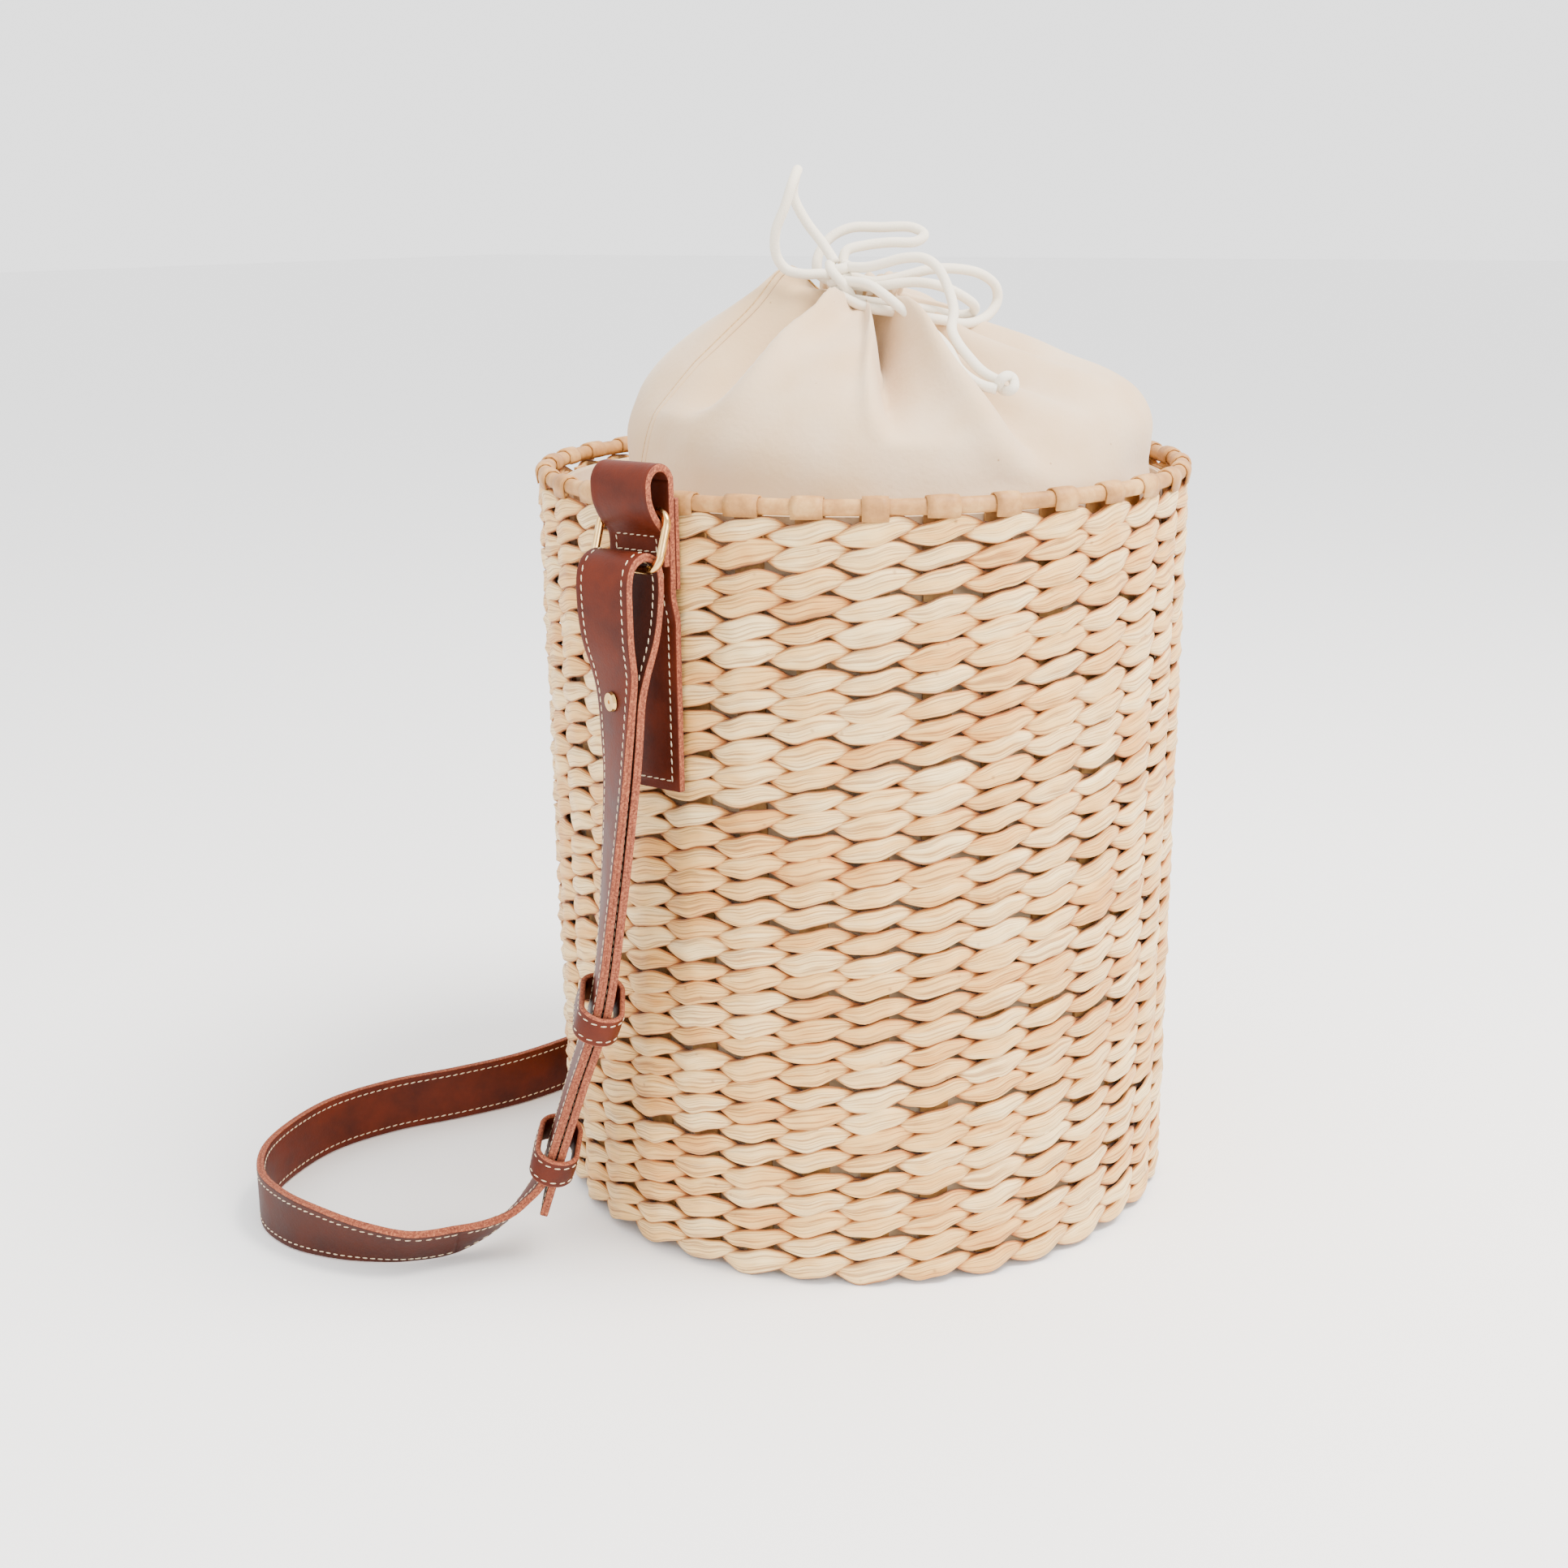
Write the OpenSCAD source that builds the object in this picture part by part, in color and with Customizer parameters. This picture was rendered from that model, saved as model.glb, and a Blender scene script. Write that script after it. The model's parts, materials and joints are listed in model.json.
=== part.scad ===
// Woven bucket bag with a gathered canvas collar and a leather shoulder strap.
// Origin at the centre of the base, on the ground. +Z is up. The strap's two
// ends hang from tabs on the -X side (end A) and the +X side (end B).

/* [Basket] */
// Outside radius of the basket at its rim
rim_r = 140; // [125:1:160]
// Outside radius of the basket at its base
base_r = 138; // [124:1:158]
// Height of the woven wall, below the rim rod
wall_h = 317; // [280:1:360]
// Thickness of the woven wall at its base
weave_t = 6.4; // [5:0.1:9]
// Thickness of the woven base
base_t = 5.6; // [4:0.1:8]
// Radius of the wall's bottom outside corner
corner_r = 8; // [4:0.5:14]
// Number of upright stakes that the strands are twined around
stake_n = 34; // [20:1:40]
// Width of a flat stake
stake_w = 11.5; // [8:0.5:14]
// Thickness of a flat stake
stake_t = 1.4; // [0.8:0.1:2]
// Radius of the rod laid round the rim
rod_r = 3.2; // [2:0.1:4]
// Thickness of the stake ends folded over the rod
wrap_t = 0.9; // [0.5:0.1:1.2]

/* [Lining] */
// Thickness of the canvas
canvas_t = 0.9; // [0.5:0.1:1.5]
// Thickness of the gathered collar, with its turned edges
collar_t = 1.2; // [0.8:0.1:2]
// Height that the gathered collar stands above the wall
collar_h = 72.5; // [55:0.5:90]
// Radius of the gathered neck
neck_r = 15; // [12:0.5:20]

/* [Drawcord] */
// Diameter of the braided cord
cord_d = 4.2; // [4:0.1:5.5]
// Radius of the knot
knot_r = 5.5; // [4.5:0.1:6]
// Height of the knot
knot_h = 18; // [15:0.5:24]

/* [Leather] */
// Width of the shoulder strap
strap_w = 26; // [18:0.5:27]
// Thickness of the strap, both plies together
strap_t = 3.4; // [2.4:0.1:3.6]
// Width of the tabs
tab_w = 28; // [20:0.5:34]
// Thickness of the tab leather
tab_t = 3.2; // [2.4:0.1:3.4]
// Thickness of the patch behind a tab
patch_t = 2.4; // [1.5:0.1:2.5]
// Length of a tab below the basket's rim
tab_drop = 110; // [70:1:140]
// Height of a keeper
keeper_h = 13; // [8:0.5:18]
// Thickness of a keeper
keeper_t = 2.2; // [1.5:0.1:3]
// Gap between the two strands of strap and a keeper, front to back
keeper_play = 3.4; // [2:0.1:5]

/* [Metal] */
// Diameter of the ring wire
wire_d = 3.4; // [2.5:0.1:3.4]
// Distance between the ring's upper and lower bars, centre to centre
ring_h = 22.7; // [20:0.1:24]
// Diameter of a rivet head
rivet_d = 8; // [6:0.1:10]
// Diameter of a rivet post
post_d = 4; // [3:0.1:5]

/* [Hidden] */
$fn = 96;

gap = 0.3;               // clearance between pieces that only lie near each other
wrap_gap = 0.15;         // clearance of a folded stake end round the rod
straw = "#e2c596";
canvas = "#f1e6d3";
cotton = "#f3ede2";
tan = "#7f3d26";
dark_tan = "#5b2e20";
gold = "#dfc592";

// ---- general functions ------------------------------------------------------

function unit(v) = v / norm(v);
function at(list, i) = list[min(max(i, 0), len(list) - 1)];
function first3(q) = [q[0], q[1], q[2]];
function last3(q) = [q[3], q[4], q[5]];
function reversed(list) = [for (i = [len(list) - 1 : -1 : 0]) list[i]];

// A smooth curve through a list of points, with m steps to a span.
function curve(p0, p1, p2, p3, t) =
    0.5 * (2 * p1 + (p2 - p0) * t + (2 * p0 - 5 * p1 + 4 * p2 - p3) * t * t
    + (3 * p1 - p0 - 3 * p2 + p3) * t * t * t);
function smooth(list, m) = concat(
    [for (i = [0 : len(list) - 2], j = [0 : m - 1])
        curve(at(list, i - 1), list[i], list[i + 1], at(list, i + 2), j / m)],
    [list[len(list) - 1]]);

// Direction of travel at station i of a route.
function heading(list, i) =
    unit(first3(at(list, i + 1)) - first3(at(list, i - 1)));

// ---- basket -----------------------------------------------------------------

wall_in = base_r - weave_t;
stake_in = sqrt(pow(wall_in - 0.15, 2) - pow(stake_w / 2, 2)) - stake_t;
lining_r = stake_in - 0.1;
rod_z = wall_h + rod_r + gap;
rod_ring_r = rim_r - rod_r - wrap_t / 2;
rim_top = rod_z + rod_r + wrap_t;

function wall_r(z) = base_r + (rim_r - base_r) * z / wall_h;

module basket_base() {
    color(straw) cylinder(r = wall_in - 2, h = base_t);
}

module basket_wall() {
    corner = [for (a = [-90 : 7.5 : 0])
        [wall_r(corner_r) - corner_r + corner_r * cos(a), corner_r + corner_r * sin(a)]];
    color(straw) rotate_extrude()
        polygon(concat(corner, [
            [rim_r, wall_h], [wall_in, wall_h],
            [wall_in, base_t], [wall_in - 1.7, base_t], [wall_in - 1.7, 0]]));
}

module stakes() {
    color(straw) for (i = [0 : stake_n - 1])
        rotate([0, 0, (i + 0.5) * 360 / stake_n])
            translate([stake_in, -stake_w / 2, base_t + gap])
                cube([stake_t, stake_w, wall_h - base_t - 2 * gap]);
}

module rim_rod() {
    color(straw) translate([0, 0, rod_z])
        rotate_extrude() translate([rod_ring_r, 0]) circle(rod_r);
}

// A stake end folded over the rod, open underneath.
module rim_wraps() {
    wrap_angle = asin(stake_w / 2 / rod_ring_r) * 2;
    color(straw) for (i = [0 : stake_n - 1])
        rotate([0, 0, (i + 0.5) * 360 / stake_n - wrap_angle / 2])
            translate([0, 0, rod_z])
                rotate_extrude(angle = wrap_angle) translate([rod_ring_r, 0])
                    difference() {
                        circle(rod_r + wrap_t);
                        circle(rod_r + wrap_gap);
                        translate([-2 * rod_r, -3 * rod_r])
                            square([4 * rod_r, 2.4 * rod_r]);
                    }
}

// ---- lining and collar ------------------------------------------------------

lining_top = wall_h - 1;
collar_turn = -55;        // the dome leans over towards this heading
collar_shift = 11;        // how far the dome sits off the basket's axis
neck_z = wall_h + collar_h;

module lining_floor() {
    color(canvas) translate([0, 0, base_t + gap])
        cylinder(r = lining_r, h = canvas_t);
}

module lining_side() {
    floor_z = base_t + gap + canvas_t;
    color(canvas) translate([0, 0, floor_z]) difference() {
        cylinder(r = lining_r, h = lining_top - floor_z);
        translate([0, 0, -1]) cylinder(r = lining_r - canvas_t, h = wall_h);
    }
}

// Rows of the dome from the sewn edge to the neck: radius, height, share of
// the sideways shift, and how much the row tips.
dome_r = lining_r - canvas_t - gap - collar_t;
dome_rows = [
    [dome_r, lining_top, 0, 0],
    [dome_r - 0.4, lining_top - 6, 0, 0],
    [dome_r - 2.6, lining_top - 11, 0.1, 0],
    [dome_r - 7, lining_top - 12.5, 0.4, 0],
    [dome_r - 11.6, lining_top - 10, 0.8, 0],
    [dome_r - 14.1, lining_top - 3, 1, 0],
    [dome_r - 15.1, wall_h + collar_h * 0.07, 1, 0],
    [dome_r - 15.6, wall_h + collar_h * 0.19, 1, 0],
    [dome_r - 18, wall_h + collar_h * 0.33, 1, 0],
    [dome_r - 24.5, wall_h + collar_h * 0.47, 1, 1],
    [dome_r - 36.5, wall_h + collar_h * 0.6, 1, 3],
    [dome_r - 53.5, wall_h + collar_h * 0.717, 1, 6],
    [neck_r + 43, wall_h + collar_h * 0.814, 1, 7],
    [neck_r + 27, wall_h + collar_h * 0.897, 0.8, 6.5],
    [neck_r + 15, wall_h + collar_h * 0.952, 0.6, 4.5],
    [neck_r + 6, wall_h + collar_h * 0.986, 0.3, 3],
    [neck_r, neck_z, 0, 0.5]
];
dome_n = 48;

// The same row pushed in by the cloth's thickness, square to the row's slope.
function slope(i) = unit([at(dome_rows, i + 1)[0] - at(dome_rows, i - 1)[0],
                          at(dome_rows, i + 1)[1] - at(dome_rows, i - 1)[1]]);
function inner_row(i) = [
    dome_rows[i][0] - collar_t * slope(i)[1], dome_rows[i][1] + collar_t * slope(i)[0],
    dome_rows[i][2], dome_rows[i][3]];
function row_points(q) = [for (k = [0 : dome_n - 1])
    let (a = 360 * k / dome_n)
    [q[0] * cos(a) + collar_shift * q[2], q[0] * sin(a), q[1] - q[3] * cos(a)]];

module collar() {
    rows = len(dome_rows);
    loop_rows = concat(
        [for (i = [0 : rows - 1]) row_points(dome_rows[i])],
        [for (i = [rows - 1 : -1 : 0]) row_points(inner_row(i))]);
    n = len(loop_rows);
    points = [for (row = loop_rows, p = row) p];
    faces = [for (i = [0 : n - 1], k = [0 : dome_n - 1], half = [0, 1])
        let (a = i * dome_n + k, b = i * dome_n + (k + 1) % dome_n,
             c = ((i + 1) % n) * dome_n + (k + 1) % dome_n,
             d = ((i + 1) % n) * dome_n + k)
        half == 0 ? [a, c, b] : [a, d, c]];
    color(canvas) rotate([0, 0, collar_turn]) polyhedron(points, faces);
}

// The hem that the cord runs through, gathered to a small ring.
casing_wall = 2;
casing_r = neck_r - 2.4;
cord_r = cord_d / 2;
bore_r = cord_r + 0.1;
casing_z = neck_z + gap + bore_r + casing_wall;
knot_u = -9;              // place of the knot: to the side, and out from the axis
knot_w = -23;
knot_out = norm([knot_u, knot_w]);

module to_knot() {
    rotate([0, 0, collar_turn + atan2(knot_w, knot_u)]) translate([0, 0, casing_z])
        rotate([0, 90, 0]) children();
}

module collar_casing() {
    color(canvas) difference() {
        translate([0, 0, casing_z]) rotate_extrude() translate([casing_r, 0])
            difference() {
                circle(bore_r + casing_wall);
                circle(bore_r);
            }
        to_knot() translate([0, 0, casing_r]) cylinder(r = bore_r + 0.2, h = 2 * bore_r + casing_wall);
    }
}

// ---- drawcord ---------------------------------------------------------------

// The cord's closed turn inside the casing, with its way out to the knot.
module drawcord_ring() {
    color(cotton) {
        translate([0, 0, casing_z]) rotate_extrude() translate([casing_r, 0]) circle(cord_r);
        to_knot() translate([0, 0, casing_r]) cylinder(r = cord_r, h = knot_out - knot_r - casing_r + 0.3);
    }
}

knot_z = neck_z + 0.2;    // underside of the knot

module bow_knot() {
    color(cotton) rotate([0, 0, collar_turn]) translate([knot_u, knot_w, knot_z]) {
        translate([0, 0, knot_r]) sphere(knot_r);
        translate([0, 0, knot_r]) cylinder(r = knot_r, h = knot_h - 2 * knot_r);
        translate([0, 0, knot_h - knot_r]) sphere(knot_r);
    }
}

// Routes of the bow's loops and tails: across, away and up, turned by
// collar_turn. Heights are above the neck of the collar.
route_left = [[-11, -24, 16.5], [-16, -20, 24], [-23, -17, 33], [-28, -16, 43],
    [-27, -19, 51], [-26, -25, 53], [-28, -30, 48], [-31, -31, 39], [-35, -30, 29],
    [-35, -28, 20], [-31, -27, 14], [-24, -28, 12], [-17, -27, 12], [-13, -25.5, 11.5]];
route_top = [[-8, -19.5, 15.5], [-6, -17, 21], [2, -15, 23], [12, -14, 24], [22, -13, 24],
    [26, -10, 27], [20, -7, 30], [8, -6, 30], [-4, -6, 30], [-13, -8, 26], [-18, -12, 19],
    [-18, -17, 12], [-13, -19.8, 9]];
route_inner = [[-4.2, -23.4, 7.2], [4, -24, 6.5], [10, -25, 7], [17, -25, 8], [25, -25, 8],
    [34, -23, 6], [42, -20, 2], [47, -15, -2], [46, -11, -5], [39, -13, -6], [31, -19, -4],
    [22, -26, -2], [13, -29, -0.5], [4, -29, 0.5], [-5.5, -26, 2]];
route_outer = [[-6.1, -19.2, 11.5], [3, -19, 8.5], [11, -18, 9], [20, -16, 11], [29, -14, 13],
    [39, -11, 13], [49, -8, 11], [56, -5, 6], [57, -4, -1], [52, -9, -7], [43, -19, -9],
    [33, -28, -7], [22, -34, -5], [12, -36, -3], [1, -35, -1], [-10, -28.5, 4]];
route_long = [[-5.1, -25.3, 14.5], [2, -29, 14.5], [9, -31, 16], [17, -33, 18], [25, -35, 18],
    [31, -38, 14], [35, -42, 6], [37, -48, -2], [36, -55, -9], [38, -65, -14],
    [42, -74, -19], [47, -82, -24], [53.5, -87, -27.5]];
route_short = [[-6.8, -27.3, 9], [2, -33, 8], [9, -38.5, 4], [18, -46, -3], [28, -57, -10],
    [34, -69, -16], [38, -80, -23], [45, -89, -28], [52, -91, -30]];
end_knot_at = [56, -89, -28];
end_knot_r = 4.8;

cord_sides = 8;

// A round tube swept along a route.
module tube(p) {
    n = len(p);
    points = [for (i = [0 : n - 1]) let (
            t = heading(p, i), s = unit(cross(t, [0.3, 0.9, 0.2])), u = cross(s, t))
        for (k = [0 : cord_sides - 1]) let (a = 360 * k / cord_sides)
            p[i] + cord_r * (cos(a) * s + sin(a) * u)];
    sides = [for (i = [0 : n - 2], k = [0 : cord_sides - 1], half = [0, 1])
        let (a = i * cord_sides + k, b = i * cord_sides + (k + 1) % cord_sides)
        half == 0 ? [a, b, b + cord_sides] : [a, b + cord_sides, a + cord_sides]];
    ends = [reversed([for (k = [0 : cord_sides - 1]) k]),
            [for (k = [0 : cord_sides - 1]) (n - 1) * cord_sides + k]];
    color(cotton) rotate([0, 0, collar_turn]) translate([0, 0, neck_z])
        polyhedron(points, concat(sides, ends));
}

module end_knot() {
    color(cotton) rotate([0, 0, collar_turn])
        translate(end_knot_at + [0, 0, neck_z]) sphere(end_knot_r);
}

// ---- tabs and rings ---------------------------------------------------------

// A flat outline of even thickness about a centre line.
function band(line, t) = concat(
    [for (i = [0 : len(line) - 1]) line[i] + t / 2 * side(line, i)],
    [for (i = [len(line) - 1 : -1 : 0]) line[i] - t / 2 * side(line, i)]);
function side(line, i) = let (h = unit(at(line, i + 1) - at(line, i - 1))) [-h[1], h[0]];

strip_low = rim_r + 0.8 + tab_t / 2;              // lower part of the strip, by the wall
strip_high = rim_r + 0.5 + patch_t + 0.1 + tab_t / 2;   // over the patch
patch_low = wall_h - 29;
patch_high = wall_h + 6;
tab_loop_r = 6.6;
tab_loop_x = strip_high + tab_loop_r;
tab_loop_z = rim_top + 4;
flap_x = strip_high + tab_t + 0.2;
bar_x = strip_high + tab_t / 2 + wire_d / 2 + 1.4;
bar_z = tab_loop_z - 10;

tab_line = concat(
    [[strip_low, rim_top - 6.6 - tab_drop]],
    smooth([[strip_low, patch_low - 20], [strip_low, patch_low - 12],
        [strip_high, patch_low - 3], [strip_high, patch_low + 5]], 3),
    [for (a = [180 : -15 : 0]) [tab_loop_x, tab_loop_z] + tab_loop_r * [cos(a), sin(a)]],
    smooth([[tab_loop_x + tab_loop_r - 0.6, tab_loop_z - 6],
        [tab_loop_x + 3, tab_loop_z - 12], [flap_x + 1.4, tab_loop_z - 17.5],
        [flap_x, tab_loop_z - 22], [flap_x, tab_loop_z - 31]], 3));

module tab() {
    color(tan) rotate([90, 0, 0]) translate([0, 0, -tab_w / 2])
        linear_extrude(tab_w) polygon(band(tab_line, tab_t));
}

module tab_patch() {
    color(tan) translate([rim_r + 0.5, -tab_w / 2, patch_low])
        cube([patch_t, tab_w, patch_high - patch_low]);
}

ring_corner = 6;
ring_in_w = max(tab_w + 1.4, strap_w + 3.4);
ring_w = ring_in_w + wire_d;
ring_tilt = 19;

module ring() {
    straight_w = ring_w - 2 * ring_corner;
    straight_h = ring_h - 2 * ring_corner;
    color(gold) translate([bar_x, 0, bar_z]) rotate([0, -ring_tilt, 0]) {
        for (z = [0, -ring_h]) translate([0, -straight_w / 2, z])
            rotate([-90, 0, 0]) cylinder(d = wire_d, h = straight_w);
        for (y = [-ring_w / 2, ring_w / 2]) translate([0, y, -ring_h + ring_corner])
            cylinder(d = wire_d, h = straight_h);
        for (sy = [0, 1], sz = [0, 1]) mirror([0, sy, 0])
            translate([0, straight_w / 2, -ring_h / 2]) mirror([0, 0, sz])
                translate([0, 0, straight_h / 2]) rotate([90, 0, 90])
                    rotate_extrude(angle = 90) translate([ring_corner, 0]) circle(d = wire_d);
    }
}

// ---- shoulder strap ---------------------------------------------------------

// Where the ring's lower bar is at rest.
low_bar = [bar_x + ring_h * sin(ring_tilt), bar_z - ring_h * cos(ring_tilt)];
leg_loop_r = 9;
leg_x = low_bar[0] + 3;
leg_top = low_bar[1] - 3.6;
strand = strap_t / 2 + 0.35;      // half the distance between two strands that touch
rivet_z = leg_top - 47;

// Middle of the hanging leg on the +X side, from its loop to its tail: place,
// turn of its face away from +X, and half the distance between its strands.
leg_axis = [
    [leg_x, 0, leg_top, 0, leg_loop_r],
    [leg_x + 0.3, 0, leg_top - 12, 1, 8.6],
    [leg_x + 0.7, 0, leg_top - 24, 5, 6.6],
    [leg_x + 1.1, 0, leg_top - 36, 12, 3.2],
    [leg_x + 1.5, 0, rivet_z, 20, strand],
    [leg_x + 2, 0, rivet_z - 17, 27, strand],
    [leg_x + 2.5, 1, 210, 33, strand],
    [leg_x + 3.5, 6, 165, 41, strand],
    [leg_x + 4.5, 13, 122, 46, strand],
    [leg_x + 4.5, 27.5, 85, 48, strand],
    [leg_x + 4.5, 42, 48, 50, strand],
    [leg_x + 4.5, 45.2, 40, 50, strand],
    [leg_x + 4.5, 51.5, 24, 50, strand]
];
cut = len(leg_axis) - 2;         // the outer strand leaves the leg here
short_tail = 5;                  // end B's tail stops here

function face_out(q) = [cos(q[3]), sin(q[3]), 0];
function width_dir(q) = [sin(q[3]), -cos(q[3]), 0];
function strand_at(q, s) = concat(first3(q) + s * q[4] * face_out(q), width_dir(q));
function loop_at(a) = let (q = leg_axis[0]) concat(
    first3(q) + leg_loop_r * (cos(a) * face_out(q) + [0, 0, sin(a)]), width_dir(q));

// The leg as one route, from the foot of its outer strand to its tail.
function leg_route(tail) = concat(
    [for (i = [cut : -1 : 0]) strand_at(leg_axis[i], 1)],
    [for (a = [45, 90, 135]) loop_at(a)],
    [for (i = [0 : tail]) strand_at(leg_axis[i], -1)]);
function mirrored(list) = [for (q = list) [-q[0], q[1], q[2], -q[3], q[4], q[5]]];

// Strap on its edge on the ground, from end A to end B: place and lean.
ground = [[-196, 72, 43], [-211, 82, 41], [-221, 98, 29], [-227, 119, 14], [-228, 142, 3],
    [-221, 165, 0], [-203, 184, 0], [-178, 195, 0], [-150, 199, 0], [-120, 192, 0],
    [-90, 177, 0], [-60, 165, 0], [-25, 159, 0], [10, 157, 0], [50, 158, 0], [90, 158, 0],
    [130, 154, 0], [166, 142, 0], [192, 124, 4], [205, 102, 16], [203, 83, 32], [190, 72, 42]];
// Strap between a leg and the ground: place and direction of its width.
bend = [[168.2, 52.2, 29.9, 0.57, -0.67, 0.48], [174.9, 58.9, 19.4, -0.03, -0.67, 0.74],
    [184.6, 65.6, 13.3, -0.5, -0.68, 0.6]];

// The route is laid out for legs this far out, and moves outwards with them.
laid_x = 159.6904;
push = leg_x - laid_x;

// A strap on its edge touches the ground with its lower edge.
function ground_at(i) = let (
        q = ground[i], p = [q[0], q[1]] + push * unit([q[0], q[1]]),
        h = unit([at(ground, i + 1)[0] - at(ground, i - 1)[0],
                  at(ground, i + 1)[1] - at(ground, i - 1)[1]]),
        up = cos(q[2]), over = sin(q[2]))
    [p[0], p[1], strap_w / 2 * up + strap_t / 2 * over + 0.3, -h[1] * over, h[0] * over, up];

leg_a = reversed(mirrored(leg_route(len(leg_axis) - 1)));
leg_b = leg_route(short_tail);
bend_b = [for (q = bend) [q[0] + push, q[1], q[2], q[3], q[4], q[5]]];
bend_a = mirrored(bend_b);
run = [for (i = [0 : len(ground) - 1]) ground_at(i)];
steps = 3;
strap = smooth(concat(leg_a, bend_a, run, reversed(bend_b), leg_b), steps);
end_leg_a = (len(leg_a) - 1) * steps;
start_run = (len(leg_a) + len(bend)) * steps;
end_run = start_run + (len(run) - 1) * steps;
start_leg_b = end_run + (len(bend) + 1) * steps;

function strap_out(i) = unit(cross(heading(strap, i), last3(strap[i])));
function strap_corner(i, across, t) = let (
        out = strap_out(i), wide = cross(out, heading(strap, i)))
    first3(strap[i]) + across * strap_w / 2 * wide + t * out;

// One ply of the strap between two stations, from depth t0 to depth t1.
module ply(from, to, t0, t1) {
    points = [for (i = [from : to], c = [[-1, t0], [1, t0], [1, t1], [-1, t1]])
        strap_corner(i, c[0], c[1])];
    n = to - from + 1;
    // The two broad sides are cut along the same diagonals, so that plies meet.
    long = [for (i = [0 : n - 2]) let (a = 4 * i) each [
        [a, a + 5, a + 1], [a, a + 4, a + 5],
        [a + 1, a + 6, a + 2], [a + 1, a + 5, a + 6],
        [a + 2, a + 6, a + 3], [a + 3, a + 6, a + 7],
        [a + 3, a + 4, a], [a + 3, a + 7, a + 4]]];
    e = 4 * (n - 1);
    polyhedron(points, concat(long, [[0, 1, 2, 3], [e + 3, e + 2, e + 1, e]]));
}

module face_ply(from, to) { color(tan) ply(from, to, 0, strap_t / 2); }
module lining_ply(from, to) { color(dark_tan) ply(from, to, -strap_t / 2, 0); }

// Puts a piece at the rivet of end B, along the strap's own face.
module at_rivet() {
    q = leg_axis[4];
    translate(first3(q)) rotate([0, 90, q[3]]) children();
}
module end_a() { mirror([1, 0, 0]) children(); }

rivet_out = strand + strap_t / 2 + 0.5;
cap_out = rivet_out + 0.4;
head_t = 1.2;
module rivet_hole() {
    at_rivet() rotate([0, 0, 25]) cylinder(d = post_d + 0.2, h = 16, center = true);
}

module rivet() {
    color(gold) at_rivet() {
        translate([0, 0, -cap_out]) cylinder(d = post_d, h = cap_out + rivet_out);
        difference() {
            translate([0, 0, rivet_out]) cylinder(d1 = rivet_d, d2 = rivet_d - 1, h = head_t);
            translate([0, 0, rivet_out + head_t - 0.5]) cylinder(d = 1.6, h = 1);
        }
    }
}

module rivet_cap() {
    color(gold) at_rivet() translate([0, 0, -cap_out - head_t])
        cylinder(d1 = rivet_d - 1, d2 = rivet_d, h = head_t);
}

// ---- keepers ----------------------------------------------------------------

keeper_long = strap_w + 3.2;
keeper_deep = 2 * strand + strap_t + 2 * keeper_play;

module oval(long, deep) {
    square([deep, long - deep], center = true);
    for (s = [-1, 1]) translate([0, s * (long - deep) / 2]) circle(d = deep);
}

// A keeper round both strands, square to the leg, a little below station i.
module keeper(i, down) {
    q = leg_axis[i];
    below = first3(leg_axis[10]) - first3(leg_axis[8]);
    tip = atan2(below[1], -below[2]);
    color(tan) end_a() translate(first3(q)) rotate([tip, 0, 0])
        rotate([0, 0, atan2(sin(q[3]), cos(q[3]) * cos(tip))])
        translate([0, 0, -keeper_h / 2 - down]) linear_extrude(keeper_h) difference() {
            oval(keeper_long + 2 * keeper_t, keeper_deep + 2 * keeper_t);
            oval(keeper_long, keeper_deep);
        }
}

// ---- assembly ---------------------------------------------------------------

basket_base();
basket_wall();
stakes();
rim_rod();
rim_wraps();
lining_floor();
lining_side();
collar();
collar_casing();
drawcord_ring();
bow_knot();
tube(route_left);  // bow_loop_left
tube(route_top);  // bow_loop_top
tube(route_inner);  // bow_loop_inner
tube(route_outer);  // bow_loop_outer
tube(route_long);  // bow_tail_long
tube(route_short);  // bow_tail_short
end_knot();
end_a() tab();  // tab_a
tab();  // tab_b
end_a() tab_patch();  // tab_patch_a
tab_patch();  // tab_patch_b
end_a() ring();  // ring_a
ring();  // ring_b
difference() { face_ply(0, end_leg_a); end_a() rivet_hole(); }  // strap_leg_a_face
difference() { lining_ply(0, end_leg_a); end_a() rivet_hole(); }  // strap_leg_a_lining
face_ply(end_leg_a, start_run);  // strap_bend_a_face
lining_ply(end_leg_a, start_run);  // strap_bend_a_lining
face_ply(start_run, end_run);  // strap_run_face
lining_ply(start_run, end_run);  // strap_run_lining
face_ply(end_run, start_leg_b);  // strap_bend_b_face
lining_ply(end_run, start_leg_b);  // strap_bend_b_lining
difference() { face_ply(start_leg_b, len(strap) - 1); rivet_hole(); }  // strap_leg_b_face
difference() { lining_ply(start_leg_b, len(strap) - 1); rivet_hole(); }  // strap_leg_b_lining
keeper(8, 5);  // keeper_upper
keeper(10, 0);  // keeper_lower
end_a() rivet();  // rivet_a
end_a() rivet_cap();  // rivet_a_cap
rivet();  // rivet_b
rivet_cap();  // rivet_b_cap
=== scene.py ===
import json
import math
import random

import bmesh
import bpy
import numpy as np
from mathutils import Matrix, Vector, noise


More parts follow.
